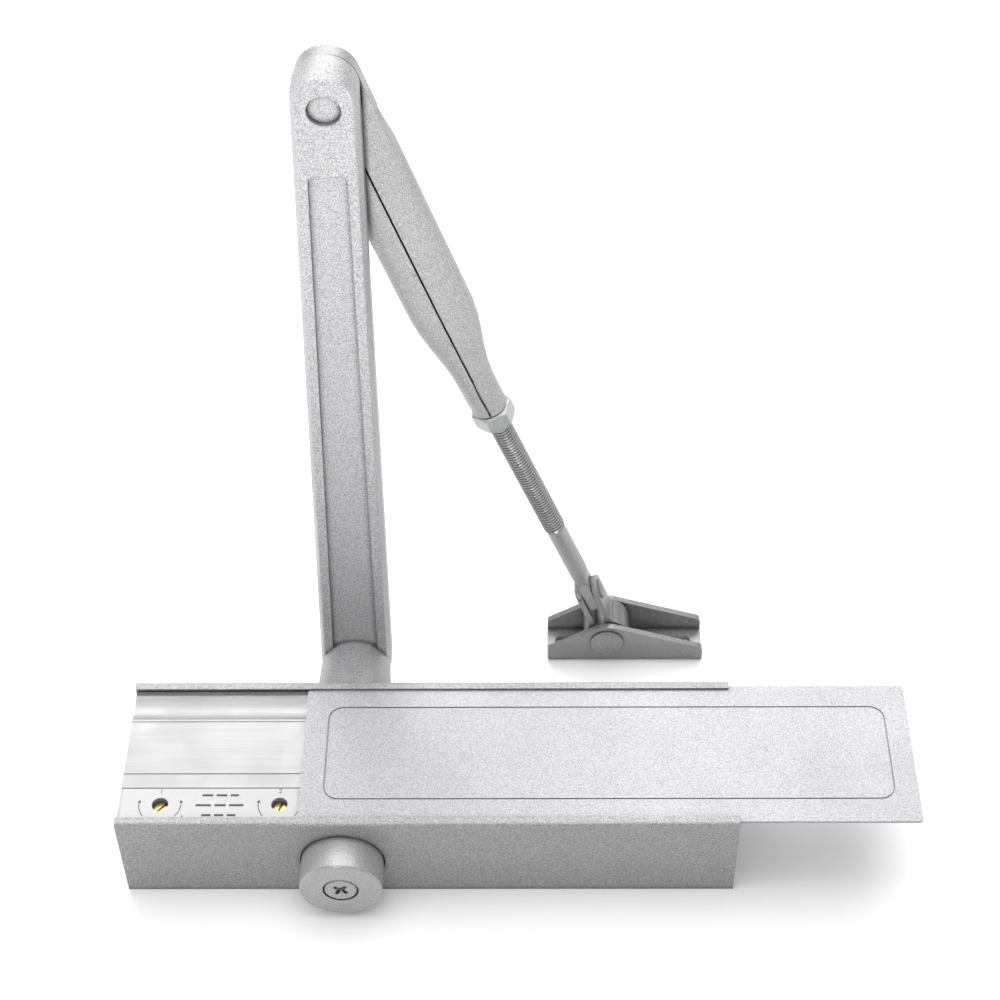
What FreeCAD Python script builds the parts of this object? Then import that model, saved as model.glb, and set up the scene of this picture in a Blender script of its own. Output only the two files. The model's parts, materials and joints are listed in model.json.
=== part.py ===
"""Surface-mounted rack-and-pinion door closer with a double-lever arm, in millimetres.

Frame: the origin is on the mounting face, under the pinion axis, at mid-width.
+X runs along the body towards the spring end, +Y along the pinion axis towards
the arm, and +Z points out of the door. The arm stands in its closed-door position.
"""
import FreeCAD
import Part
import Sketcher
import math
import os
import re
from FreeCAD import Placement, Rotation, Vector

DIMS = {
    # body extrusion
    "body_length": 240.0, "left_reach": 86.4, "half_width": 35.1, "body_depth": 43.8,
    "rail_gap": 31.4, "deck_height": 40.4, "slot_floor": 41.6, "slot_roof": 43.0, "slot_reach": 33.3,
    "dip_inner": 18.2, "dip_outer": 30.6, "dip_radius": 20.0, "bead_width": 0.9, "bead_rise": 0.25,
    "line_one": 8.5, "line_two": 15.4, "line_width": 0.5, "line_depth": 0.35,
    "bore_radius": 16.0, "pinion_height": 19.6,
    "cross_radius": 12.0, "gland_radius": 14.0, "gland_seat": 27.2,
    "recess_radius": 16.6, "recess_seat": 31.1,
    "plug_radius": 17.5, "plug_seat": 13.0, "plug_length": 11.2, "plug_stub": 7.4,
    "bore_fit": 15.98, "ring_start": 2.4, "ring_width": 1.6, "ring_groove": 1.4, "ring_wire": 0.68,
    "plug_socket_flats": 10.0, "plug_socket_depth": 5.0,
    "fixing_radius": 2.6, "fixing_deep": 12.0, "fixing_left": 76.4, "fixing_span": 220.0, "fixing_half": 26.0,
    "edge_round": 1.2, "gallery_length": 10.0, "label_gap": 0.5,
    # speed valves
    "valve_line": 23.3, "latching_place": 70.3, "closing_place": 23.9,
    "valve_hole": 3.2, "valve_stem_hole": 2.2, "valve_step": 29.0, "valve_bottom": 12.0,
    "valve_top": 37.9, "valve_radius": 3.12, "valve_stem": 2.1, "valve_shoulder": 31.0,
    "valve_point": 14.0, "valve_slot_width": 1.1, "valve_slot_depth": 1.3,
    "valve_tip": 0.5, "valve_taper": 3.0, "valve_chamfer": 0.3, "valve_ring_wire": 0.5,
    "latching_slot_turn": 45.0, "closing_slot_turn": 70.0, "gallery_radius": 0.8,
    "label_thick": 0.25, "label_end": 60.0, "label_inset": 1.0,
    # cover
    "cover_shift": 70.2, "cover_length": 240.0, "cover_corner": 1.5, "cover_half": 33.1, "cover_low": 41.72,
    "cover_thick": 1.2,
    "panel_inset": 9.0, "panel_half": 22.7, "panel_round": 6.0, "panel_line": 0.6, "panel_depth": 0.35,
    # spindle, pinion and end cap
    "tooth_module": 1.5, "tooth_count": 12, "pressure_angle": 25.0, "backlash": 0.14,
    "tooth_rise": 1.35, "rack_rise": 1.0, "tooth_fall": 1.8, "gear_half": 14.2,
    "journal": 8.0, "journal_end": 31.5,
    "spindle_near": 44.8, "spindle_far": 68.4, "spindle_square": 12.0, "tapped_radius": 3.0,
    "bearing_start": 16.6, "bearing_end": 27.0, "bearing_gap": 0.05,
    "gland_inner_face": 29.4, "spindle_ring_place": 28.3, "spindle_ring_wire": 1.05, "tapped_deep": 14.0,
    "cap_edge": 0.6, "cross_width": 1.5, "cross_reach": 3.2, "cross_depth": 1.3, "cross_turn": 40.0,
    "cross_core": 1.9, "cross_tip": 0.6, "cross_deep": 2.8,
    "cap_radius": 16.1, "cap_face": 48.7, "cap_inner": 31.6, "cap_wall": 2.5, "cap_web": 5.0,
    "cap_hub": 10.6, "cap_hub_end": 33.0, "cap_screw_seat": 7.0, "cap_screw_sink": 2.5,
    "cap_screw_chamfer": 0.4,
    "cap_screw_head": 6.4, "cap_screw_length": 14.0, "screw_radius": 2.95,
    # main arm
    "arm_lean": 1.33, "arm_reach": 283.7, "arm_tip": 287.2, "arm_front": 63.4, "arm_thick": 11.0,
    "arm_low_radius": 14.8, "arm_high_radius": 11.4, "bevel_in": 1.6, "bevel_deep": 3.6, "arm_edge": 0.7,
    "panel_low": 8.0, "panel_high": 257.3, "panel_low_half": 9.4, "panel_high_half": 6.8,
    "arm_panel_depth": 1.5, "panel_corner": 2.5,
    "hub_start": 31.9, "hub_low_radius": 16.2, "hub_high_radius": 14.45,
    "hub_sink_radius": 9.0, "hub_sink": 5.4, "washer_thick": 1.6, "washer_radius": 8.6,
    "arm_screw_head": 6.5, "arm_screw_high": 3.4, "arm_screw_length": 16.0, "head_chamfer": 0.6,
    "rivet_radius": 4.0, "rivet_head": 5.25, "rivet_sink_radius": 5.9, "rivet_sink": 2.4,
    "rivet_below": 1.1, "rivet_rim": 0.6, "tail_head": 6.4, "tail_high": 2.2, "tail_rim": 0.9, "tail_top": 3.8,
    "washer_play": 0.05, "tail_play": 0.08,
    # forearm
    "forearm_lean": 19.0, "elbow_gap": 0.9, "elbow_thick": 5.6, "elbow_hole": 4.06,
    "eye_radius": 11.0, "eye_side": 1.45, "eye_rise": 3.0, "plate_end": 14.0, "plate_inset": 0.1,
    "rod_tilt": 3.148, "rod_skew": 0.37, "pin_reach": 283.5, "pin_line": 91.35,
    "flat_start": 7.0, "flat_half": 10.9, "flat_depth": 2.8, "swell_end": 37.0, "swell_half": 12.45,
    "taper_start": 105.0, "neck_start": 146.0, "neck_radius": 7.25, "neck_end": 160.6, "neck_end_radius": 7.1,
    "tube_depth": 6.6, "tube_inset": 0.1, "plate_oval": 10.0, "tube_oval": 2.6, "sheet": 1.8,
    "hollow_start": 22.0,
    "seam": 0.8, "seam_start": 24.0, "seam_reach": 80.4, "gap_start": 140.0, "gap_radius": 75.0,
    "gap_end": 160.1, "notch_top": 2.4, "notch_end": 9.8, "notch_side": 9.0, "notch_size": 2.8, "throat_start": 106.0,
    # rod, nut and insert
    "thread_radius": 4.5, "shank_radius": 4.1, "rod_top": 122.0, "thread_end": 239.0,
    "tongue_thick": 4.4, "tongue_half": 5.0, "tongue_tip": 8.6, "pin_hole": 3.05,
    "tongue_high": 10.0, "tongue_end": 16.0, "tongue_chamfer": 1.6, "nut_chamfer": 1.2, "nut_face": 6.9,
    "nut_flats": 14.5, "nut_thick": 7.8, "nut_start": 161.2, "nut_bore": 4.56, "nut_turn": 18.0,
    "insert_radius": 5.3, "insert_start": 142.0, "insert_end": 159.4,
    # stirrup and foot
    "foot_axis_high": 12.75,
    "loop_radius": 9.8, "strip_thick": 2.4, "cheek_half": 2.4, "strip_half": 6.2, "pin_radius": 3.0,
    "pin_head": 4.1, "pin_head_thick": 1.6, "pin_head_rim": 0.5, "pin_play": 0.02,
    "foot_left": 25.3, "foot_right": 41.4, "foot_half": 9.4, "foot_sheet": 2.6,
    "foot_left_high": 7.3, "foot_right_high": 8.3, "flange_radius": 9.2, "flange_end_round": 3.0,
    "bend_round": 2.5, "strap_flare": 4.0,
    "slot_radius": 2.5, "slot_long": 11.0, "slot_left": 16.6, "slot_right": 31.4,
    "barrel_radius": 7.32, "foot_rivet_shank": 4.0, "foot_rivet_head": 7.0, "foot_rivet_high": 1.9,
    "foot_rivet_rim": 0.8,
    # piston, springs and power adjuster
    "piston_radius": 15.95, "piston_left": 50.0, "piston_right": 26.0, "piston_boss": 30.0,
    "boss_radius": 5.8, "slot_start": 38.0, "slot_end": 12.0, "slot_low": 8.6, "rack_spaces": 9,
    "valve_bore": 2.5, "valve_seat": 20.0, "valve_port": 1.6, "stop_bore": 1.2, "ball_radius": 2.2, "retainer_start": 27.0,
    "seat_place": 118.0, "seat_radius": 15.6, "seat_thick": 3.0, "seat_boss": 7.0, "seat_boss_end": 130.0,
    "outer_wire": 2.1, "outer_coil": 12.7, "outer_turns": 11, "inner_wire": 1.3, "inner_coil": 7.4,
    "inner_turns": 18, "spring_gap": 0.15,
    "adjuster_radius": 3.98, "adjuster_start": 96.0, "adjuster_head": 5.9, "adjuster_hole": 4.06,
    "adjuster_sink": 4.0, "adjuster_recess": 6.2, "adjuster_chamfer": 0.8, "seal_wire": 0.7,
    "seal_ring": 0.686, "seal_middle": 0.77, "seal_groove": 1.47, "clip_radius": 6.7, "clip_thick": 1.0,
    "clip_back": 0.8, "clip_bore": 4.6, "seal_place": 3.4, "seat_pilot": 4.0, "seat_pilot_radius": 5.6,
    "socket_flats": 5.0, "socket_depth": 2.6,
    # clearances shared by several pieces
    "play": 0.1, "overcut": 1.0,
}

doc = FreeCAD.newDocument("door_closer")
NODES = []
NEAR = 0.01
ROUND = 2.0
FLANK_STEPS = 6
OUTSIDE_STEPS = 20
INSIDE_STEPS = 14
TURN = {"X": Rotation(Vector(0, 1, 0), 90), "Y": Rotation(Vector(1, 0, 0), -90), "Z": Rotation()}


# ---------------------------------------------------------------- shared helpers

def fill_sheet():
    """Write every driving dimension into the spreadsheet, one aliased cell each."""
    sheet = doc.addObject("Spreadsheet::Sheet", "dims")
    for row, (name, value) in enumerate(DIMS.items(), start=1):
        sheet.set("A%d" % row, name)
        sheet.set("B%d" % row, str(value))
        sheet.setAlias("B%d" % row, name)
    doc.recompute()
    return sheet


def full(text):
    """Turn the sheet's aliases inside an expression into references to the sheet."""
    return re.sub(r"[a-z][a-z_0-9]*", lambda word: "dims." + word.group()
                  if word.group() in DIMS else word.group(), text)


def amount(text):
    """The present value of an expression, worked out in a scratch cell."""
    probe.set("A1", "=" + full(text))
    probe.recompute()
    return float(probe.get("A1"))


def bind(item, **properties):
    """Bind properties to expressions; a double underscore stands for a dot."""
    for name, text in properties.items():
        item.setExpression(name.replace("__", "."), full(text))


def move(item, x="0", y="0", z="0"):
    bind(item, Placement__Base__x=x, Placement__Base__y=y, Placement__Base__z=z)
    return item


def node(item, label):
    """Name an object as one of the assembly's separate pieces."""
    item.Label = label
    NODES.append(item)
    return item


def cylinder(name, axis, start, radius, length):
    item = doc.addObject("Part::Cylinder", name)
    item.Placement.Rotation = TURN[axis]
    bind(item, Radius=radius, Height=length)
    return move(item, *start)


def cone(name, axis, start, radius_one, radius_two, length):
    item = doc.addObject("Part::Cone", name)
    item.Placement.Rotation = TURN[axis]
    bind(item, Radius1=radius_one, Radius2=radius_two, Height=length)
    return move(item, *start)


def torus(name, axis, centre, radius, wire):
    item = doc.addObject("Part::Torus", name)
    item.Placement.Rotation = TURN[axis]
    bind(item, Radius1=radius, Radius2=wire)
    return move(item, *centre)


def block(name, corner, size):
    item = doc.addObject("Part::Box", name)
    bind(item, Length=size[0], Width=size[1], Height=size[2])
    return move(item, *corner)


def cut(name, base, tools):
    item = doc.addObject("Part::Cut", name)
    item.Base = base
    item.Tool = tools[0] if len(tools) == 1 else fuse(name + "_tools", tools)
    return item


def fuse(name, parts):
    item = doc.addObject("Part::MultiFuse", name)
    item.Shapes = parts
    item.Refine = True
    return item


def group(name, parts):
    """Several separate solids of one kind kept in one node."""
    item = doc.addObject("Part::Compound", name)
    item.Links = parts
    return item


def spun(name, item, axis, angle):
    """The same piece turned about an axis through the origin."""
    holder = group(name, [item])
    holder.Placement.Rotation = Rotation(axis, 1)
    bind(holder, Placement__Rotation__Angle=angle)
    return holder


def new_body(name):
    return doc.addObject("PartDesign::Body", name)


def new_sketch(body, name, role, offset="0"):
    """A sketch on one of the body's origin planes, moved along the plane's normal."""
    sketch = body.newObject("Sketcher::SketchObject", name)
    plane = [item for item in body.Origin.OriginFeatures if item.Role == role][0]
    sketch.AttachmentSupport = [(plane, "")]
    sketch.MapMode = "FlatFace"
    bind(sketch, AttachmentOffset__Base__z=offset)
    return sketch


def arc_through(start, end, radius, large):
    """The arc between two points: positive radius turns left on the way, negative right."""
    chord = end - start
    middle = (start + end) * 0.5
    left = Vector(-chord.y, chord.x, 0).normalize()
    rise = math.sqrt(max(0.0, radius * radius - chord.Length * chord.Length / 4.0))
    side = (1 if radius > 0 else -1) * (-1 if large else 1)
    centre = middle + left * rise * side
    first, last = (start, end) if radius > 0 else (end, start)
    angle_one = math.atan2(first.y - centre.y, first.x - centre.x)
    angle_two = math.atan2(last.y - centre.y, last.x - centre.x)
    circle = Part.Circle(centre, Vector(0, 0, 1), abs(radius))
    return Part.ArcOfCircle(circle, angle_one, angle_two)


def outline(sketch, corners):
    """Draw a closed outline with every corner bound to expressions.

    A corner is (x, y) for a straight side to the next corner, or (x, y, radius)
    for an arc to it, with "large" or "half" added for the long way or a half circle.
    """
    base = sketch.GeometryCount
    places = [Vector(amount(corner[0]), amount(corner[1]), 0) for corner in corners]
    ends = []
    for index, corner in enumerate(corners):
        start = places[index]
        end = places[(index + 1) % len(corners)]
        if len(corner) == 2:
            sketch.addGeometry(Part.LineSegment(start, end))
            ends.append((1, 2))
            continue
        radius = amount(corner[2])
        sketch.addGeometry(arc_through(start, end, radius, "large" in corner))
        ends.append((1, 2) if radius > 0 else (2, 1))
    for index, corner in enumerate(corners):
        after = (index + 1) % len(corners)
        sketch.addConstraint(Sketcher.Constraint(
            "Coincident", base + index, ends[index][1], base + after, ends[after][0]))
        for kind, text in (("DistanceX", corner[0]), ("DistanceY", corner[1])):
            number = sketch.addConstraint(Sketcher.Constraint(
                kind, -1, 1, base + index, ends[index][0], amount(text)))
            sketch.setExpression("Constraints[%d]" % number, full(text))
        if len(corner) == 2:
            continue
        if "half" in corner:
            level = abs(places[after].y - places[index].y) < abs(places[after].x - places[index].x)
            kind = "DistanceY" if level else "DistanceX"
            text = corner[1] if level else corner[0]
            number = sketch.addConstraint(Sketcher.Constraint(
                kind, -1, 1, base + index, 3, amount(text)))
            sketch.setExpression("Constraints[%d]" % number, full(text))
            continue
        number = sketch.addConstraint(Sketcher.Constraint(
            "Radius", base + index, abs(amount(corner[2]))))
        sketch.setExpression("Constraints[%d]" % number, full("abs(%s)" % corner[2]))


def circle(sketch, x, y, radius):
    """Draw a circle whose centre and radius are bound to expressions."""
    index = sketch.addGeometry(Part.Circle(Vector(amount(x), amount(y), 0), Vector(0, 0, 1), amount(radius)))
    for kind, text in (("DistanceX", x), ("DistanceY", y)):
        number = sketch.addConstraint(Sketcher.Constraint(kind, -1, 1, index, 3, amount(text)))
        sketch.setExpression("Constraints[%d]" % number, full(text))
    number = sketch.addConstraint(Sketcher.Constraint("Radius", index, amount(radius)))
    sketch.setExpression("Constraints[%d]" % number, full(radius))


def rectangle(left, low, right, high):
    return [(left, low), (right, low), (right, high), (left, high)]


def slot_outline(centre, middle, half_long, radius):
    """A slot along the sketch's x axis, with round ends."""
    west = "%s - (%s) + %s" % (centre, half_long, radius)
    east = "%s + %s - %s" % (centre, half_long, radius)
    low = "%s - %s" % (middle, radius)
    high = "%s + %s" % (middle, radius)
    return [(west, low), (east, low, radius, "half"), (east, high), (west, high, radius, "half")]


def pad(body, sketch, length, reverse=False, midplane=False):
    feature = body.newObject("PartDesign::Pad", sketch.Name + "_pad")
    feature.Profile = sketch
    feature.Reversed = reverse
    feature.Midplane = midplane
    bind(feature, Length=length)
    doc.recompute()
    return feature


def pocket(body, sketch, length, reverse=False, midplane=False):
    """Cut a sketch into the body and make sure that it took material away."""
    before = body.Shape.Volume
    feature = body.newObject("PartDesign::Pocket", sketch.Name + "_pocket")
    feature.Profile = sketch
    feature.Reversed = reverse
    feature.Midplane = midplane
    bind(feature, Length=length)
    doc.recompute()
    if body.Shape.Volume >= before:
        raise RuntimeError(sketch.Name + " cuts nothing")
    return feature


def round_edges(body, name, radius, chosen):
    """Fillet the edges that a test picks out."""
    doc.recompute()
    base = body.Tip
    names = ["Edge%d" % number for number, edge in enumerate(base.Shape.Edges, start=1) if chosen(edge)]
    feature = body.newObject("PartDesign::Fillet", name)
    feature.Base = (base, names)
    bind(feature, Radius=radius)
    doc.recompute()
    return feature


def swapped(corner):
    """The same corner with its two directions exchanged, which turns its arc the other way."""
    if len(corner) == 2:
        return (corner[1], corner[0])
    return (corner[1], corner[0], "0 - (%s)" % corner[2]) + tuple(corner[3:])


def turned(name, axis, corners):
    """A turned piece: a closed outline of (place along the axis, radius) spun about the axis."""
    body = new_body(name)
    plane = "XZ_Plane" if axis == "Z" else "XY_Plane"
    sketch = new_sketch(body, name + "_profile", plane)
    if axis == "X":
        outline(sketch, corners)
    else:
        outline(sketch, [swapped(corner) for corner in corners])
    spin = body.newObject("PartDesign::Revolution", name + "_turned")
    spin.Profile = sketch
    spin.ReferenceAxis = (sketch, ["H_Axis" if axis == "X" else "V_Axis"])
    spin.Angle = 360
    doc.recompute()
    return body


def ring(name, axis, start, end, inner, outer):
    return turned(name, axis, [(start, inner), (end, inner), (end, outer), (start, outer)])


def section(height, half_width, half_depth, side, centre, fullness, count=24):
    """A rounded section: fullness 2 is an ellipse, and more is squarer."""
    points = []
    for step in range(count):
        angle = 2 * math.pi * step / count
        across = math.cos(angle)
        front = math.sin(angle)
        wide = half_width * math.copysign(abs(across) ** (2.0 / fullness), across)
        deep = half_depth * math.copysign(abs(front) ** (2.0 / fullness), front)
        points.append(Vector(wide, deep, 0))
    curve = Part.BSplineCurve()
    curve.interpolate(Points=points, PeriodicFlag=True)
    wire = Part.Wire([curve.toShape()])
    wire.Placement = Placement(Vector(side, centre, height), Rotation())
    return wire


def revolve(body, sketch, axis="V_Axis"):
    """Add a sketch spun about one of its own axes."""
    spin = body.newObject("PartDesign::Revolution", sketch.Name + "_turned")
    spin.Profile = sketch
    spin.ReferenceAxis = (sketch, [axis])
    spin.Angle = 360
    doc.recompute()
    return spin


def place(item, x, y, z, lean, tilt="0"):
    """Stand a piece at a point, turned about Y by lean after a turn about X by tilt."""
    bind(item, Placement="create(<<placement>>; create(<<vector>>; %s; %s; %s); "
         "create(<<rotation>>; create(<<vector>>; 0; 1; 0); %s) * "
         "create(<<rotation>>; create(<<vector>>; 1; 0; 0); %s))" % (x, y, z, lean, tilt))
    return item


def shaft_end(name, start, length):
    """A square shaft end whose corners are turned down to the journal."""
    half = "spindle_square / 2"
    square = block(name + "_square", ("-" + half, start, "-" + half),
                   ("spindle_square", length, "spindle_square"))
    rounded = cylinder(name + "_round", "Y", ("0", start, "0"), "journal", length)
    common = doc.addObject("Part::MultiCommon", name)
    common.Shapes = [square, rounded]
    return common


# positions that follow from the sheet
BODY_LEFT = "0 - left_reach"
BODY_RIGHT = "(body_length - left_reach)"
ELBOW_X = "(arm_reach * sin(arm_lean))"
ELBOW_Z = "(pinion_height + arm_reach * cos(arm_lean))"
FOOT_REACH = "((%s - foot_axis_high) / cos(forearm_lean))" % ELBOW_Z
PIN_ABOVE = "(%s - pin_reach)" % FOOT_REACH
FOOT_X = "(%s + %s * sin(forearm_lean))" % (ELBOW_X, FOOT_REACH)
PIN_X = "(%s + pin_reach * sin(forearm_lean))" % ELBOW_X
PIN_Z = "(%s - pin_reach * cos(forearm_lean))" % ELBOW_Z


# ---------------------------------------------------------------- closer body

def side_outline():
    """The extrusion's section, from the back face round to the near rail."""
    corner = "edge_round"
    right = [("0 - half_width", "0"), ("half_width", "0"),
             ("half_width", "body_depth - " + corner, corner), ("half_width - " + corner, "body_depth"),
             ("rail_gap", "body_depth"), ("rail_gap", "slot_roof"), ("slot_reach", "slot_roof"),
             ("slot_reach", "slot_floor"), ("rail_gap", "slot_floor"), ("rail_gap", "deck_height")]
    deck = [("dip_outer", "deck_height", "0 - dip_radius"), ("dip_inner", "deck_height"),
            ("dip_inner", "deck_height + bead_rise"), ("dip_inner - bead_width", "deck_height + bead_rise"),
            ("dip_inner - bead_width", "deck_height")]
    for line in ("line_one", "line_two"):
        near = "0 - %s + line_width / 2" % line
        far = "0 - %s - line_width / 2" % line
        deck += [(near, "deck_height"), (near, "deck_height - line_depth"),
                 (far, "deck_height - line_depth"), (far, "deck_height")]
    left = [("0 - rail_gap", "deck_height"), ("0 - rail_gap", "slot_floor"), ("0 - slot_reach", "slot_floor"),
            ("0 - slot_reach", "slot_roof"), ("0 - rail_gap", "slot_roof"), ("0 - rail_gap", "body_depth"),
            ("0 - half_width + " + corner, "body_depth", corner), ("0 - half_width", "body_depth - " + corner)]
    return right + deck + left


def bore(body, name, role, offset, centre, radius, length, reverse=False, midplane=False):
    """One round hole or counterbore cut from an offset plane."""
    sketch = new_sketch(body, name, role, offset)
    circle(sketch, centre[0], centre[1], radius)
    pocket(body, sketch, length, reverse, midplane)


def build_housing():
    body = new_body("housing")
    profile = new_sketch(body, "extrusion", "YZ_Plane", BODY_LEFT)
    outline(profile, side_outline())
    pad(body, profile, "body_length")
    axis = ("0", "pinion_height")
    bore(body, "piston_bore", "YZ_Plane", BODY_LEFT, axis, "bore_radius", "body_length", reverse=True)
    bore(body, "left_counterbore", "YZ_Plane", BODY_LEFT, axis, "plug_radius", "plug_seat", reverse=True)
    bore(body, "right_counterbore", "YZ_Plane", BODY_RIGHT, axis, "plug_radius", "plug_seat")
    bore(body, "cross_bore", "XZ_Plane", "0", axis, "cross_radius", "half_width * 2", midplane=True)
    for side, offset, reverse in (("near", "half_width", False), ("far", "0 - half_width", True)):
        bore(body, side + "_gland_seat", "XZ_Plane", offset, axis,
             "gland_radius", "half_width - gland_seat", reverse)
        bore(body, side + "_recess", "XZ_Plane", offset, axis,
             "recess_radius", "half_width - recess_seat", reverse)
    for valve in ("latching", "closing"):
        centre = ("0 - %s_place" % valve, "0 - valve_line")
        bore(body, valve + "_hole", "XY_Plane", "deck_height", centre, "valve_hole",
             "deck_height - valve_step")
        bore(body, valve + "_stem_hole", "XY_Plane", "valve_step", centre, "valve_stem_hole",
             "valve_step - valve_bottom")
        bore(body, valve + "_gallery", "XZ_Plane", "valve_line",
             ("0 - %s_place" % valve, "valve_bottom + gallery_radius"), "gallery_radius", "gallery_length")
    fixing = new_sketch(body, "fixing_hole", "XY_Plane")
    circle(fixing, "0 - fixing_left", "0 - fixing_half", "fixing_radius")
    circle(fixing, "0 - fixing_left", "fixing_half", "fixing_radius")
    pair = pocket(body, fixing, "fixing_deep", reverse=True)
    both = body.newObject("PartDesign::LinearPattern", "fixing_pattern")
    both.Originals = [pair]
    both.Direction = (fixing, ["H_Axis"])
    both.Occurrences = 2
    bind(both, Length="fixing_span")
    body.Tip = both
    doc.recompute()
    node(move(body), "body_housing")


def build_label():
    """The thin setting plate beside the speed valves, with a hole for each."""
    plate = block("label_plate", ("0 - left_reach + label_inset", "0 - rail_gap + label_gap", "deck_height"),
                  ("left_reach + label_end", "rail_gap - line_two - label_gap * 2", "label_thick"))
    holes = [cylinder(valve + "_window", "Z", ("0 - %s_place" % valve, "0 - valve_line", "deck_height"),
                      "valve_hole", "label_thick") for valve in ("latching", "closing")]
    node(cut("label", plate, holes), "setting_label")


def plug_profile(face, flange, stub, ring_one, ring_two):
    """Half section of an end plug from its outer face inwards, without its bore."""
    groove = "bore_fit - ring_groove"
    return [(flange, "plug_radius"), (flange, "bore_fit"), (ring_one, "bore_fit"), (ring_one, groove),
            (ring_two, groove), (ring_two, "bore_fit"), (stub, "bore_fit")]


def build_plugs():
    left_face = BODY_LEFT + " + plug_seat - plug_length"
    left = turned("left_plug_form", "X", [(left_face, "0"), (left_face, "plug_radius")] + plug_profile(
        left_face, BODY_LEFT + " + plug_seat", BODY_LEFT + " + plug_seat + plug_stub",
        BODY_LEFT + " + plug_seat + ring_start", BODY_LEFT + " + plug_seat + ring_start + ring_width")
        + [(BODY_LEFT + " + plug_seat + plug_stub", "0")])
    move(left, z="pinion_height")
    socket = hexagon("left_plug_socket", "X", (left_face, "0", "pinion_height"),
                     "plug_socket_flats", "plug_socket_depth")
    node(cut("left_plug", left, [socket]), "end_plug_left")
    face = BODY_RIGHT + " - plug_seat + plug_length"
    sink = face + " - adjuster_sink"
    profile = [("%s - clip_back - clip_thick" % face, "adjuster_recess"),
               ("%s - clip_back - clip_thick" % face, "clip_radius"), ("%s - clip_back" % face, "clip_radius"),
               ("%s - clip_back" % face, "adjuster_recess"), (face, "adjuster_recess"), (face, "plug_radius")]
    profile += plug_profile(
        face, BODY_RIGHT + " - plug_seat", BODY_RIGHT + " - plug_seat - plug_stub",
        BODY_RIGHT + " - plug_seat - ring_start", BODY_RIGHT + " - plug_seat - ring_start - ring_width")
    seal = BODY_RIGHT + " - plug_seat + seal_place"
    profile += [(BODY_RIGHT + " - plug_seat - plug_stub", "adjuster_hole"),
                (seal + " - seal_wire", "adjuster_hole"),
                (seal + " - seal_wire", "adjuster_radius + seal_groove"),
                (seal + " + seal_wire", "adjuster_radius + seal_groove"),
                (seal + " + seal_wire", "adjuster_hole"), (sink, "adjuster_hole"), (sink, "adjuster_recess")]
    node(move(turned("right_plug", "X", profile), z="pinion_height"), "end_plug_right")
    places = (BODY_LEFT + " + plug_seat + ring_start + ring_width / 2",
              BODY_RIGHT + " - plug_seat - ring_start - ring_width / 2")
    rings = [torus("%s_plug_ring" % side, "X", (place_x, "0", "pinion_height"),
                   "(bore_radius + bore_fit - ring_groove) / 2", "ring_wire")
             for side, place_x in zip(("left", "right"), places)]
    node(group("plug_rings", rings), "end_plug_seals")


def hexagon(name, axis, start, flats, length):
    item = doc.addObject("Part::Prism", name)
    item.Polygon = 6
    item.Placement.Rotation = TURN[axis]
    bind(item, Circumradius="%s / sqrt(3)" % flats, Height=length)
    return move(item, *start)


def pair_of(name, start, end, inner, outer):
    """Two equal rings about the pinion axis, one on each side of the body."""
    sides = []
    for side, low in (("near", "0 - " + end), ("far", start)):
        outside = cylinder("%s_%s_outer" % (name, side), "Y", ("0", low, "pinion_height"), outer,
                           "%s - %s" % (end, start))
        inside = cylinder("%s_%s_inner" % (name, side), "Y", ("0", low, "pinion_height"), inner,
                          "%s - %s" % (end, start))
        sides.append(cut("%s_%s" % (name, side), outside, [inside]))
    return group(name, sides)


def build_bearings():
    node(pair_of("bearing_pair", "bearing_start", "bearing_end", "(journal + bearing_gap)", "cross_radius"),
         "spindle_bearings")
    node(pair_of("gland_pair", "gland_inner_face", "recess_seat", "(journal + bearing_gap)", "gland_radius"),
         "bearing_glands")
    rings = [torus("spindle_ring_" + side, "Y", ("0", place_y, "pinion_height"),
                   "journal + bearing_gap + spindle_ring_wire", "spindle_ring_wire")
             for side, place_y in (("near", "0 - spindle_ring_place"), ("far", "spindle_ring_place"))]
    node(group("spindle_rings", rings), "spindle_seals")
    seals = [torus(valve + "_ring", "Z", ("0 - %s_place" % valve, "0 - valve_line",
                                          "(valve_step + valve_shoulder) / 2"),
                   "(valve_stem + valve_hole) / 2", "valve_ring_wire") for valve in ("latching", "closing")]
    node(group("valve_rings", seals), "valve_seals")


def coil(name, radius, wire, turns, start, length):
    """A round-wire compression spring wound along +X from a start point."""
    helix = doc.addObject("Part::Helix", name + "_helix")
    bind(helix, Pitch="(%s - %s * 2) / %s" % (length, wire, turns), Height="%s - %s * 2" % (length, wire),
         Radius=radius, Placement__Base__z=wire)
    profile = doc.addObject("Part::Circle", name + "_wire")
    profile.Placement.Rotation = Rotation(Vector(1, 0, 0), 90)
    bind(profile, Radius=wire, Placement__Base__x=radius, Placement__Base__z=wire)
    spring = doc.addObject("Part::Sweep", name)
    spring.Sections = [profile]
    spring.Spine = (helix, ["Edge1"])
    spring.Solid = True
    spring.Frenet = True
    spring.Placement.Rotation = TURN["X"]
    return move(spring, start, "0", "pinion_height")


def build_springs():
    length = "seat_place - piston_right - spring_gap * 2"
    start = "piston_right + spring_gap"
    node(coil("outer_spring", "outer_coil", "outer_wire", "outer_turns", start, length), "main_spring_outer")
    node(coil("inner_spring", "inner_coil", "inner_wire", "inner_turns", start, length), "main_spring_inner")
    seat = turned("seat", "X", [
        ("seat_place - seat_pilot", "adjuster_hole"), ("seat_place - seat_pilot", "seat_pilot_radius"),
        ("seat_place", "seat_pilot_radius"), ("seat_place", "seat_radius"),
        ("seat_place + seat_thick", "seat_radius"), ("seat_place + seat_thick", "seat_boss"),
        ("seat_boss_end", "seat_boss"), ("seat_boss_end", "adjuster_hole")])
    node(move(seat, z="pinion_height"), "spring_seat")


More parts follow.
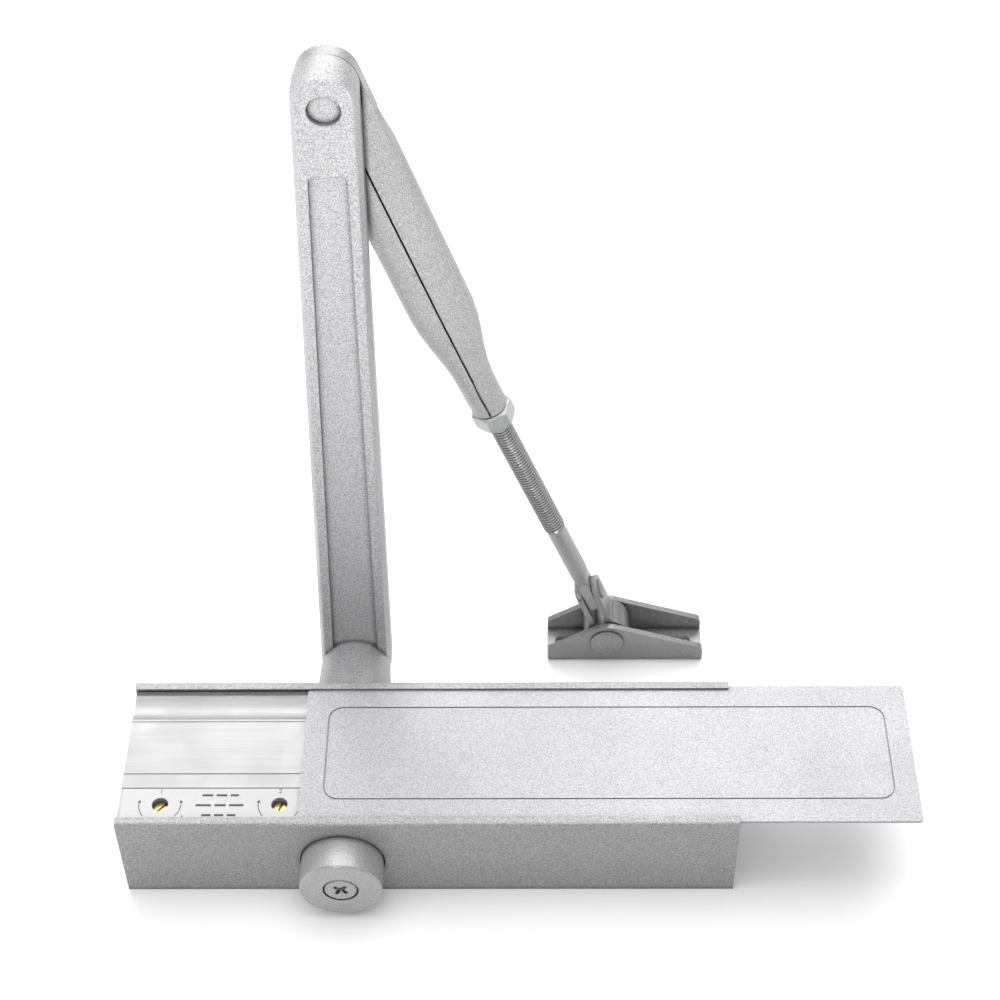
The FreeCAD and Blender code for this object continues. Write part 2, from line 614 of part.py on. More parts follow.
def build_adjuster():
    face = BODY_RIGHT + " - plug_seat + plug_length"
    head = "(%s - adjuster_sink)" % face
    end = "(%s - clip_back - clip_thick - play)" % face
    body = turned("adjuster_form", "X", [
        ("adjuster_start", "0"), ("adjuster_start", "adjuster_radius - adjuster_chamfer"),
        ("adjuster_start + adjuster_chamfer", "adjuster_radius"), (head + " + play", "adjuster_radius"),
        (head + " + play", "adjuster_head"), (end, "adjuster_head"), (end, "0")])
    move(body, z="pinion_height")
    socket = hexagon("adjuster_socket", "X", (end + " - socket_depth", "0", "pinion_height"),
                     "socket_flats", "socket_depth")
    node(cut("adjuster", body, [socket]), "power_adjuster")
    seal = torus("adjuster_ring", "X", (BODY_RIGHT + " - plug_seat + seal_place", "0", "pinion_height"),
                 "adjuster_radius + seal_middle", "seal_ring")
    node(seal, "adjuster_seal")
    clip = turned("clip", "X", [(face + " - clip_back - clip_thick", "clip_bore"),
                                (face + " - clip_back", "clip_bore"), (face + " - clip_back", "clip_radius"),
                                (face + " - clip_back - clip_thick", "clip_radius")])
    node(move(clip, z="pinion_height"), "adjuster_clip")


def valve_screw(name, place_x, slot_turn):
    """A slotted metering screw that stands in its hole with a tapered point."""
    screw = turned(name + "_form", "Z", [
        ("valve_point", "0"), ("valve_point", "valve_tip"), ("valve_point + valve_taper", "valve_stem"),
        ("valve_shoulder", "valve_stem"), ("valve_shoulder", "valve_radius"),
        ("valve_top - valve_chamfer", "valve_radius"), ("valve_top", "valve_radius - valve_chamfer"),
        ("valve_top", "0")])
    slot = block(name + "_slot",
                 ("0 - valve_radius", "0 - valve_slot_width / 2", "valve_top - valve_slot_depth"),
                 ("valve_radius * 2", "valve_slot_width", "valve_slot_depth"))
    turner = spun(name + "_slot_turned", slot, Vector(0, 0, 1), slot_turn)
    return move(cut(name, screw, [turner]), "0 - " + place_x, "0 - valve_line", "0")


def build_valves():
    node(valve_screw("latching_screw", "latching_place", "latching_slot_turn"), "latching_valve")
    node(valve_screw("closing_screw", "closing_place", "closing_slot_turn"), "closing_valve")


def rounded_rectangle(left, low, right, high, radius):
    return [("%s + %s" % (left, radius), low), ("%s - %s" % (right, radius), low, radius),
            (right, "%s + %s" % (low, radius)), (right, "%s - %s" % (high, radius), radius),
            ("%s - %s" % (right, radius), high), ("%s + %s" % (left, radius), high, radius),
            (left, "%s - %s" % (high, radius)), (left, "%s + %s" % (low, radius), radius)]


def build_cover():
    body = new_body("cover")
    plate = new_sketch(body, "cover_outline", "XY_Plane")
    outline(plate, rounded_rectangle("0", "0 - cover_half", "cover_length", "cover_half", "cover_corner"))
    pad(body, plate, "cover_thick")
    frame = new_sketch(body, "cover_frame", "XY_Plane", "cover_thick")
    inset = "panel_inset"
    outline(frame, rounded_rectangle(inset, "0 - panel_half", "cover_length - panel_inset", "panel_half",
                                     "panel_round"))
    inner = "(panel_round - panel_line)"
    outline(frame, rounded_rectangle("panel_inset + panel_line", "0 - panel_half + panel_line",
                                     "cover_length - panel_inset - panel_line", "panel_half - panel_line",
                                     inner))
    pocket(body, frame, "panel_depth")
    node(move(body, BODY_LEFT + " + cover_shift", "0", "cover_low"), "cover_plate")


# ---------------------------------------------------------------- piston

def build_piston():
    body = cylinder("piston_barrel", "X", ("0 - piston_left", "0", "pinion_height"), "piston_radius",
                    "piston_left + piston_right")
    boss = cylinder("piston_nose", "X", ("piston_right", "0", "pinion_height"), "boss_radius",
                    "piston_boss - piston_right")
    pitch_line = "pinion_height + tooth_module * tooth_count / 2"
    window = block("piston_window", ("0 - slot_start", "0 - half_width", "slot_low"),
                   ("slot_start + slot_end", "half_width * 2", "%s - rack_rise - slot_low" % pitch_line))
    teeth = rack_tool()
    valve_hole = cylinder("piston_valve_hole", "X", ("valve_seat", "0", "pinion_height"), "valve_bore",
                          "piston_boss - valve_seat")
    port = cylinder("piston_port", "X", ("slot_end - overcut", "0", "pinion_height"), "valve_port",
                    "valve_seat - slot_end + overcut")
    relief = cylinder("piston_relief", "X", ("0 - piston_left", "0", "pinion_height"), "valve_port",
                      "piston_left - slot_start + overcut")
    solid = fuse("piston_solid", [body, boss])
    node(cut("piston_part", solid, [window, teeth, valve_hole, port, relief]), "piston")
    ball = doc.addObject("Part::Sphere", "ball")
    bind(ball, Radius="ball_radius")
    move(ball, "valve_seat + sqrt(ball_radius ^ 2 - valve_port ^ 2)", "0", "pinion_height")
    node(ball, "check_ball")
    stop = ring("valve_stop", "X", "retainer_start", "piston_boss", "stop_bore", "valve_bore")
    node(move(stop, z="pinion_height"), "check_valve_retainer")


def rack_tool():
    """The row of tooth spaces cut upwards into the piston."""
    body = new_body("rack_spaces_tool")
    sketch = new_sketch(body, "rack_space", "XZ_Plane")
    slope = "tan(pressure_angle)"
    quarter = "(pi * tooth_module / 4 + backlash / 4)"
    wide = "(%s + (rack_rise + overcut) * %s)" % (quarter, slope)
    narrow = "(%s - tooth_fall * %s)" % (quarter, slope)
    outline(sketch, [("0 - " + wide, "0 - rack_rise - overcut"), (wide, "0 - rack_rise - overcut"),
                     (narrow, "tooth_fall"), ("0 - " + narrow, "tooth_fall")])
    space = pad(body, sketch, "half_width", midplane=True)
    row = body.newObject("PartDesign::LinearPattern", "rack_row")
    row.Originals = [space]
    row.Direction = (sketch, ["H_Axis"])
    row.Occurrences = DIMS["rack_spaces"]
    bind(row, Length="pi * tooth_module * (rack_spaces - 1)")
    body.Tip = row
    doc.recompute()
    return move(body, "0 - pi * tooth_module * (rack_spaces - 2)", "0",
                "pinion_height + tooth_module * tooth_count / 2")


# ---------------------------------------------------------------- spindle

def involute(base_radius, radius):
    """The involute angle, in radians, where the curve reaches a radius."""
    turn = math.sqrt(max(0.0, (radius / base_radius) ** 2 - 1.0))
    return turn - math.atan(turn)


def gear_outline():
    """A closed wire round the pinion teeth, the first tooth pointing along +Z."""
    module = sheet.tooth_module
    count = int(sheet.tooth_count)
    pitch = module * count / 2.0
    base = pitch * math.cos(math.radians(sheet.pressure_angle))
    tip = pitch + sheet.tooth_rise
    root = pitch - sheet.tooth_fall
    half = math.pi / (2 * count) - sheet.backlash / (4 * pitch) + involute(base, pitch)
    radii = [base + (tip - base) * step / FLANK_STEPS for step in range(FLANK_STEPS + 1)]
    edges = []
    first = None
    for tooth in range(count):
        middle = math.pi / 2 - 2 * math.pi * tooth / count
        up = [(radius, middle + half - involute(base, radius)) for radius in radii]
        down = [(radius, 2 * middle - angle) for radius, angle in reversed(up)]
        up_curve, down_curve = [[polar(spot) for spot in side] for side in (up, down)]
        foot_in = polar((root, up[0][1]))
        foot_out = polar((root, down[-1][1]))
        if edges:
            edges.append(root_arc(root, last_angle, up[0][1]))
        else:
            first = up[0][1]
        edges.append(Part.makeLine(foot_in, up_curve[0]))
        edges.append(spline(up_curve))
        edges.append(root_arc(tip, up[-1][1], down[0][1]))
        edges.append(spline(down_curve))
        edges.append(Part.makeLine(down_curve[-1], foot_out))
        last_angle = down[-1][1]
    edges.append(root_arc(root, last_angle, first - 2 * math.pi))
    return Part.Wire(edges)


def polar(spot):
    radius, angle = spot
    return Vector(radius * math.cos(angle), 0, radius * math.sin(angle))


def root_arc(radius, start, end):
    """A short arc about the pinion axis, between two angles."""
    middle = polar((radius, (start + end) / 2))
    return Part.Arc(polar((radius, start)), middle, polar((radius, end))).toShape()


def spline(points):
    curve = Part.BSplineCurve()
    curve.interpolate(points)
    return curve.toShape()


def build_spindle():
    teeth = doc.addObject("Part::Feature", "pinion_teeth")
    teeth.Shape = Part.Face(gear_outline()).extrude(Vector(0, 2 * sheet.gear_half, 0))
    teeth.Placement = Placement(Vector(0, -sheet.gear_half, 0), Rotation())
    journal_shaft = cylinder("journal_shaft", "Y", ("0", "0 - journal_end", "0"), "journal", "journal_end * 2")
    near_end = shaft_end("near_end", "0 - spindle_near", "spindle_near - journal_end + overcut")
    far_end = shaft_end("far_end", "journal_end - overcut", "spindle_far - journal_end + overcut")
    solid = fuse("spindle_solid", [teeth, journal_shaft, near_end, far_end])
    near_hole = cylinder("near_tapping", "Y", ("0", "0 - spindle_near", "0"), "tapped_radius", "tapped_deep")
    far_hole = cylinder("far_tapping", "Y", ("0", "spindle_far - tapped_deep", "0"), "tapped_radius",
                        "tapped_deep")
    node(move(cut("spindle", solid, [near_hole, far_hole]), "0", "0", "pinion_height"), "pinion_shaft")


def build_cap():
    shell = turned("cap_form", "Y", [
        ("0 - cap_face", "cap_screw_seat"), ("0 - cap_face", "cap_radius - cap_edge"),
        ("0 - cap_face + cap_edge", "cap_radius"), ("0 - cap_inner", "cap_radius"),
        ("0 - cap_inner", "cap_radius - cap_wall"), ("0 - cap_face + cap_web", "cap_radius - cap_wall"),
        ("0 - cap_face + cap_web", "cap_hub"), ("0 - cap_hub_end", "cap_hub"), ("0 - cap_hub_end", "0"),
        ("0 - spindle_near", "0"), ("0 - spindle_near", "screw_radius + play"),
        ("0 - cap_face + cap_screw_sink", "screw_radius + play"),
        ("0 - cap_face + cap_screw_sink", "cap_screw_seat")])
    square = shaft_end("cap_square", "0 - spindle_near", "spindle_near - cap_inner")
    node(move(cut("end_cap", shell, [square]), "0", "0", "pinion_height"), "spindle_cap")
    screw = turned("cap_screw_form", "Y", [
        ("0 - cap_face", "0"), ("0 - cap_face", "cap_screw_head - cap_screw_chamfer"),
        ("0 - cap_face + cap_screw_chamfer", "cap_screw_head"),
        ("0 - cap_face + cap_screw_sink", "cap_screw_head"), ("0 - cap_face + cap_screw_sink", "screw_radius"),
        ("0 - cap_face + cap_screw_sink + cap_screw_length", "screw_radius"),
        ("0 - cap_face + cap_screw_sink + cap_screw_length", "0")])
    upright = block("cross_upright", ("0 - cross_width / 2", "0 - cap_face", "0 - cross_reach"),
                    ("cross_width", "cross_depth", "cross_reach * 2"))
    level = block("cross_level", ("0 - cross_reach", "0 - cap_face", "0 - cross_width / 2"),
                  ("cross_reach * 2", "cross_depth", "cross_width"))
    core = cone("cross_centre", "Y", ("0", "0 - cap_face", "0"), "cross_core", "cross_tip", "cross_deep")
    recess = spun("cross_recess", fuse("cross_form", [upright, level, core]), Vector(0, 1, 0), "cross_turn")
    node(move(cut("cap_fixing", screw, [recess]), "0", "0", "pinion_height"), "cap_screw")


# ---------------------------------------------------------------- main arm

def arm_outline(inset):
    """The arm's tapered outline between its two round ends, drawn in by inset."""
    lean = "asin((arm_low_radius - arm_high_radius) / arm_tip)"
    low = "(arm_low_radius - %s)" % inset
    high = "(arm_high_radius - %s)" % inset
    low_x = "%s * cos(%s)" % (low, lean)
    low_z = "%s * sin(%s)" % (low, lean)
    high_x = "%s * cos(%s)" % (high, lean)
    high_z = "arm_tip + %s * sin(%s)" % (high, lean)
    return [(low_x, low_z), (high_x, high_z, high), ("0 - " + high_x, high_z),
            ("0 - " + low_x, low_z, low, "large")]


def build_arm():
    body = new_body("arm")
    beam = new_sketch(body, "arm_outline", "XZ_Plane", "0 - arm_front - bevel_deep")
    outline(beam, arm_outline("0"))
    pad(body, beam, "arm_thick - bevel_deep", reverse=True)
    bevel = new_sketch(body, "arm_bevel", "XZ_Plane", "0 - arm_front")
    outline(bevel, arm_outline("bevel_in"))
    slope = pad(body, bevel, "bevel_deep", reverse=True)
    bind(slope, TaperAngle="atan(bevel_in / bevel_deep)")
    front = sheet.arm_front
    round_edges(body, "arm_front_round", "arm_edge",
                lambda edge: all(abs(corner.Point.y - front) < NEAR for corner in edge.Vertexes))
    panel = new_sketch(body, "arm_panel", "XZ_Plane", "0 - arm_front")
    low = "panel_low_half"
    high = "panel_high_half"
    corner = "panel_corner"
    outline(panel, [("0 - " + low, "panel_low"), (low, "panel_low"), (high, "panel_high - " + corner, corner),
                    ("%s - %s" % (high, corner), "panel_high"),
                    ("0 - %s + %s" % (high, corner), "panel_high", corner),
                    ("0 - " + high, "panel_high - " + corner)])
    pocket(body, panel, "arm_panel_depth")
    hub = new_sketch(body, "arm_hub", "XY_Plane")
    outline(hub, [("0", "hub_start"), ("hub_low_radius", "hub_start"), ("hub_high_radius", "arm_front"),
                  ("hub_high_radius", "arm_front + arm_thick - hub_sink"),
                  ("0", "arm_front + arm_thick - hub_sink")])
    revolve(body, hub)
    back = "0 - arm_front - arm_thick"
    bore(body, "arm_sink", "XZ_Plane", back, ("0", "0"), "hub_sink_radius", "hub_sink", reverse=True)
    bore(body, "rivet_hole", "XZ_Plane", "0 - arm_front", ("0", "arm_reach"), "rivet_radius", "arm_thick")
    bore(body, "rivet_sink", "XZ_Plane", "0 - arm_front", ("0", "arm_reach"), "rivet_sink_radius",
         "rivet_sink")
    square = shaft_end("arm_square", "hub_start - overcut", "arm_front + arm_thick - hub_start")
    place(square, "0", "0", "0", "0 - arm_lean")
    node(place(cut("main_lever", body, [square]), "0", "0", "pinion_height", "arm_lean"), "main_arm")


def build_arm_fixings():
    seat = "arm_front + arm_thick - hub_sink"
    washer = ring("washer", "Y", seat, seat + " + washer_thick", "screw_radius + play", "washer_radius")
    node(move(washer, "0", "0", "pinion_height"), "arm_washer")
    top = "(%s + washer_thick)" % seat
    screw = turned("arm_screw_form", "Y", [
        (top + " - arm_screw_length", "0"), (top + " - arm_screw_length", "screw_radius"),
        (top, "screw_radius"), (top, "arm_screw_head"),
        (top + " + arm_screw_high - head_chamfer", "arm_screw_head"),
        (top + " + arm_screw_high", "arm_screw_head - head_chamfer"), (top + " + arm_screw_high", "0")])
    socket = hexagon("arm_screw_socket", "Y", ("0", top + " + arm_screw_high - socket_depth", "0"),
                     "socket_flats", "socket_depth")
    node(move(cut("arm_fixing", screw, [socket]), "0", "0", "pinion_height"), "arm_screw")


def build_elbow():
    seat = "(arm_front + rivet_sink)"
    crown = "(arm_front + rivet_below)"
    bulge = "(rivet_head ^ 2 + rivet_rim ^ 2) / (2 * rivet_rim)"
    disc = "(arm_front + arm_thick + elbow_gap)"
    tail = "(%s + elbow_thick + tail_play)" % disc
    rivet = turned("rivet", "Y", [
        (crown, "0", "0 - " + bulge), (crown + " + rivet_rim", "rivet_head"), (seat, "rivet_head"),
        (seat, "rivet_radius"), (tail, "rivet_radius"), (tail, "tail_head"),
        (tail + " + tail_rim", "tail_head"), (tail + " + tail_high", "tail_top"), (tail + " + tail_high", "0")])
    node(move(rivet, ELBOW_X, "0", ELBOW_Z), "elbow_rivet")
    washer = ring("elbow_ring", "Y", "arm_front + arm_thick + washer_play", disc + " - washer_play",
                  "elbow_hole", "rivet_radius * 2")
    node(move(washer, ELBOW_X, "0", ELBOW_Z), "elbow_washer")


# ---------------------------------------------------------------- forearm

def rod_line(reach):
    """Where the rod's axis runs, sideways and across, at a distance below the elbow."""
    left = sheet.pin_reach - reach
    return (-left * math.tan(math.radians(sheet.rod_skew)),
            sheet.pin_line - left * math.tan(math.radians(sheet.rod_tilt)))


def forearm_stations():
    """Along the folded tube: distance, half width, half depth, side, centre and fullness."""
    front = sheet.arm_front + sheet.arm_thick + sheet.elbow_gap
    plate = front + sheet.elbow_thick / 2
    tube = front + sheet.tube_depth + sheet.tube_inset
    return [
        (sheet.flat_start, sheet.flat_half, sheet.flat_depth, sheet.eye_side, plate, sheet.plate_oval),
        (sheet.plate_end, sheet.flat_half, sheet.elbow_thick / 2 - sheet.plate_inset, sheet.eye_side, plate,
         sheet.plate_oval),
        (sheet.swell_end, sheet.swell_half, sheet.tube_depth, 0.0, tube, sheet.tube_oval),
        (sheet.taper_start, sheet.swell_half, sheet.tube_depth, 0.0, tube, sheet.tube_oval),
        (sheet.neck_start, sheet.neck_radius, sheet.neck_radius) + rod_line(sheet.neck_start) + (ROUND,),
        (sheet.neck_end, sheet.neck_end_radius, sheet.neck_end_radius) + rod_line(sheet.neck_end) + (ROUND,)]


def station_at(reach):
    """The section at any distance, blended smoothly between the two nearest stations."""
    stations = forearm_stations()
    pairs = list(zip(stations, stations[1:]))
    low, high = next((pair for pair in pairs if pair[1][0] >= reach), pairs[-1])
    share = (reach - low[0]) / (high[0] - low[0])
    share = share * share * (3 - 2 * share)
    return [one + (two - one) * share for one, two in zip(low[1:], high[1:])]


def tube_loft(start, end, count, inset):
    """A lofted tube through evenly spaced sections, each drawn in by inset."""
    wires = []
    for step in range(count + 1):
        reach = start + (end - start) * step / count
        half, deep, side, centre, fullness = station_at(reach)
        wires.append(section(-reach, half - inset, deep - inset, side, centre, fullness))
    return Part.makeLoft(wires, True, True)


def build_forearm():
    outside = doc.addObject("Part::Feature", "forearm_outside")
    outside.Shape = tube_loft(sheet.flat_start, sheet.neck_end, OUTSIDE_STEPS, 0.0)
    inside = doc.addObject("Part::Feature", "forearm_inside")
    inside.Shape = tube_loft(sheet.hollow_start, sheet.neck_start, INSIDE_STEPS, sheet.sheet)
    front = "(arm_front + arm_thick + elbow_gap)"
    eye = cylinder("forearm_eye", "Y", ("eye_side", front, "eye_rise"), "eye_radius", "elbow_thick")
    flat = block("forearm_flat", ("eye_side - eye_radius", front, "0 - plate_end"),
                 ("eye_radius * 2", "elbow_thick", "plate_end + eye_rise"))
    disc = fuse("forearm_plate", [eye, flat])
    hole = cylinder("forearm_hole", "Y", ("0", front, "0"), "elbow_hole", "elbow_thick")
    seam = block("forearm_seam", ("0 - seam / 2", front + " - overcut", "0 - neck_end - overcut"),
                 ("seam", "seam_reach - %s + overcut" % front, "neck_end - seam_start + overcut"))
    lens = front_tool("forearm_gap", front, "seam_reach - " + front, [
        ("0", "0 - gap_end", "gap_radius"), ("0", "0 - gap_start", "gap_radius")])
    notch = front_tool("forearm_notch", front, "elbow_thick / 2", [
        ("notch_side", "0 - notch_end"), ("notch_side + notch_size", "0 - notch_top"),
        ("notch_side", "0 - notch_top")])
    throat = cylinder("forearm_throat", "Z", ("0", "0", "0"), "insert_radius", along_rod("throat_start"))
    place(throat, "0", "pin_line", "0 - pin_reach", "0 - rod_skew", "rod_tilt")
    solid = fuse("forearm_solid", [outside, disc])
    arm = cut("forearm_part", solid, [inside, throat, hole, seam, lens, notch])
    node(place(arm, ELBOW_X, "0", ELBOW_Z, "0 - forearm_lean"), "forearm")


def front_tool(name, front, depth, corners):
    """A prism that cuts an outline into the front of the forearm."""
    body = new_body(name)
    sketch = new_sketch(body, name + "_outline", "XZ_Plane", "0 - " + front + " + overcut")
    outline(sketch, corners)
    pad(body, sketch, depth + " + overcut", reverse=True)
    return body


def along_rod(reach):
    """Distance up the rod's own axis, from the pin, of a distance below the elbow."""
    return "((pin_reach - %s) / cos(rod_tilt))" % reach


def on_rod(item, label):
    return node(place(item, PIN_X, "pin_line", PIN_Z, "0 - forearm_lean - rod_skew", "rod_tilt"), label)


def build_rod():
    insert = cylinder("insert_outer", "Z", ("0", "0", along_rod("insert_end")), "insert_radius",
                      "insert_end - insert_start")
    insert_bore = cylinder("insert_bore", "Z", ("0", "0", along_rod("insert_end")), "nut_bore",
                           "insert_end - insert_start")
    on_rod(cut("insert", insert, [insert_bore]), "threaded_insert")
    thread = cylinder("rod_thread", "Z", ("0", "0", along_rod("thread_end")), "thread_radius",
                      "thread_end - rod_top")
    shank = cylinder("rod_shank", "Z", ("0", "0", "tongue_high"), "shank_radius",
                     along_rod("thread_end") + " - tongue_high + overcut")
    tongue = new_body("rod_tongue")
    flat = new_sketch(tongue, "tongue_outline", "YZ_Plane")
    edge = "tongue_chamfer"
    outline(flat, [("0 - tongue_half + " + edge, "0 - tongue_tip"), ("tongue_half - " + edge, "0 - tongue_tip"),
                   ("tongue_half", "0 - tongue_tip + " + edge), ("tongue_half", "tongue_high"),
                   ("shank_radius", "tongue_end"), ("0 - shank_radius", "tongue_end"),
                   ("0 - tongue_half", "tongue_high"), ("0 - tongue_half", "0 - tongue_tip + " + edge)])
    pad(tongue, flat, "tongue_thick", midplane=True)
    hole = cylinder("tongue_hole", "X", ("0 - tongue_thick", "0", "0"), "pin_hole", "tongue_thick * 2")
    solid = fuse("rod_solid", [thread, shank, tongue])
    on_rod(cut("rod", solid, [hole]), "adjusting_rod")


def build_nut():
    low = along_rod("(nut_start + nut_thick)")
    prism = hexagon("nut_hexagon", "Z", ("0", "0", low), "nut_flats", "nut_thick")
    corner = "(nut_flats / sqrt(3) + play)"
    form = turned("nut_form", "Z", [
        (low, "nut_bore"), (low, "nut_face"), (low + " + nut_chamfer", corner),
        (low + " + nut_thick - nut_chamfer", corner), (low + " + nut_thick", "nut_face"),
        (low + " + nut_thick", "nut_bore")])
    nut = doc.addObject("Part::MultiCommon", "nut")
    nut.Shapes = [spun("nut_hexagon_turned", prism, Vector(0, 0, 1), "nut_turn"), form]
    on_rod(nut, "lock_nut")


# ---------------------------------------------------------------- stirrup and foot

def build_stirrup():
    body = new_body("strap")
    outer = "(cheek_half + strip_thick)"
    loop = new_sketch(body, "loop_outer", "XZ_Plane")
    circle(loop, "0", "0", "loop_radius")
    pad(body, loop, "strip_half * 2", midplane=True)
    ears = new_sketch(body, "ear_outline", "YZ_Plane")
    outline(ears, [("0 - strip_half", "0"), ("strip_half", "0"),
                   ("strip_half", PIN_ABOVE, "strip_half", "half"),
                   ("0 - strip_half", PIN_ABOVE)])
    pad(body, ears, outer + " * 2", midplane=True)
    bend = math.sqrt(sheet.loop_radius ** 2 - (sheet.cheek_half + sheet.strip_thick) ** 2)

    def in_corner(edge):
        return all(abs(abs(corner.Point.x) - sheet.cheek_half - sheet.strip_thick) < NEAR
                   and abs(corner.Point.z - bend) < NEAR for corner in edge.Vertexes)

    round_edges(body, "strap_bend", "strap_flare", in_corner)
    inner_high = "sqrt((loop_radius - strip_thick) ^ 2 - cheek_half ^ 2)"
    space = new_sketch(body, "strap_space", "XZ_Plane")
    outline(space, [("cheek_half", inner_high), ("cheek_half", PIN_ABOVE + " + strip_half + overcut"),
                    ("0 - cheek_half", PIN_ABOVE + " + strip_half + overcut"),
                    ("0 - cheek_half", inner_high, "loop_radius - strip_thick", "large")])
    pocket(body, space, "strip_half * 2 + overcut * 2", midplane=True)
    bore(body, "ear_hole", "YZ_Plane", "0", ("0", PIN_ABOVE), "pin_radius", outer + " * 2 + overcut * 2",
         midplane=True)
    node(place(body, FOOT_X, "pin_line", "foot_axis_high", "0 - forearm_lean"), "stirrup")
    half = "(%s + pin_play)" % outer
    pin = turned("pin", "X", domed("pin_radius", half, "pin_head", "pin_head_thick", "pin_head_rim"))
    node(place(pin, PIN_X, "pin_line", PIN_Z, "0 - forearm_lean"), "rod_pin")


def domed(shank, half, head, high, rim):
    """Half section of a rivet whose heads have a short straight rim under a dome."""
    crown = "(%s ^ 2 + (%s - %s) ^ 2) / (2 * (%s - %s))" % (head, high, rim, high, rim)
    low = "0 - %s" % half
    return [("%s - %s" % (low, high), "0", "0 - " + crown), ("%s - %s" % (low, rim), head), (low, head),
            (low, shank), (half, shank), (half, head), ("%s + %s" % (half, rim), head, "0 - " + crown),
            ("%s + %s" % (half, high), "0")]


def tangent_point(place_x, place_z, side):
    """Where the flange's straight edge meets its crown arc; side is -1 for the left end."""
    rise = "(foot_axis_high - %s)" % place_z
    turn = "(atan(%s / %s) + asin(flange_radius / sqrt(%s ^ 2 + %s ^ 2)))" % (rise, place_x, place_x, rise)
    sign = "0 - " if side < 0 else ""
    return ("%sflange_radius * sin(%s)" % (sign, turn), "foot_axis_high + flange_radius * cos(%s)" % turn)


def build_foot():
    body = new_body("bracket")
    left = tangent_point("foot_left", "foot_left_high", -1)
    right = tangent_point("foot_right", "foot_right_high", 1)
    flange = new_sketch(body, "flange_outline", "XZ_Plane")
    outline(flange, [("0 - foot_left", "0"), ("foot_right", "0"), ("foot_right", "foot_right_high"),
                     right + ("flange_radius",), left, ("0 - foot_left", "foot_left_high")])
    pad(body, flange, "foot_half * 2", midplane=True)
    round_edges(body, "flange_ends", "flange_end_round", end_corner)
    round_edges(body, "bend_outside", "bend_round", lambda edge: all(
        abs(corner.Point.z) < NEAR and abs(abs(corner.Point.y) - sheet.foot_half) < NEAR
        for corner in edge.Vertexes) and abs(edge.Vertexes[0].Point.x - edge.Vertexes[-1].Point.x) > 1)
    channel = new_sketch(body, "channel", "YZ_Plane", "0 - foot_left - overcut")
    outline(channel, rectangle("0 - foot_half + foot_sheet", "foot_sheet", "foot_half - foot_sheet",
                               "body_depth"))
    pocket(body, channel, "foot_left + foot_right + overcut * 2", reverse=True)
    for name, centre in (("left_slot", "0 - slot_left"), ("right_slot", "slot_right")):
        sketch = new_sketch(body, name, "XY_Plane")
        outline(sketch, slot_outline(centre, "0", "slot_long / 2", "slot_radius"))
        pocket(body, sketch, "foot_sheet", reverse=True)
    bore(body, "foot_rivet_hole", "XZ_Plane", "0", ("0", "foot_axis_high"), "foot_rivet_shank",
         "foot_half * 2 + overcut * 2", midplane=True)
    node(move(body, FOOT_X, "pin_line", "0"), "foot_bracket")
    shank = turned("foot_rivet_form", "Y", domed("foot_rivet_shank", "foot_half", "foot_rivet_head",
                                                 "foot_rivet_high", "foot_rivet_rim"))
    barrel = cylinder("foot_barrel", "Y", ("0", "0 - foot_half + foot_sheet", "0"), "barrel_radius",
                      "(foot_half - foot_sheet) * 2")
    node(move(fuse("foot_pivot", [shank, barrel]), FOOT_X, "pin_line", "foot_axis_high"), "foot_rivet")


def end_corner(edge):
    """True for the two edges across the sheet at the flange's far top corner."""
    return all(abs(corner.Point.x - sheet.foot_right) < NEAR
               and abs(corner.Point.z - sheet.foot_right_high) < NEAR for corner in edge.Vertexes)


# ---------------------------------------------------------------- build, check and write

def check_and_write():
    doc.recompute()
    for item in doc.Objects:
        if "Invalid" in item.State or "Error" in item.State:
            raise RuntimeError("%s did not build: %s" % (item.Name, item.getStatusString()))
    os.makedirs("parts", exist_ok=True)
    for item in NODES:
        if item.Shape.isNull() or not item.Shape.isValid():
            raise RuntimeError("%s has no valid shape" % item.Label)
        item.Shape.exportStep("parts/%s.step" % item.Label)


sheet = fill_sheet()
probe = doc.addObject("Spreadsheet::Sheet", "probe")
for build in (build_housing, build_label, build_plugs, build_bearings, build_springs, build_adjuster,
              build_valves, build_cover, build_piston, build_spindle, build_cap, build_arm,
              build_arm_fixings, build_elbow, build_forearm, build_rod, build_nut, build_stirrup,
              build_foot):
    build()
doc.removeObject("probe")
check_and_write()
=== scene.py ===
import json
import math

import bmesh
import bpy
from mathutils import Matrix, Vector


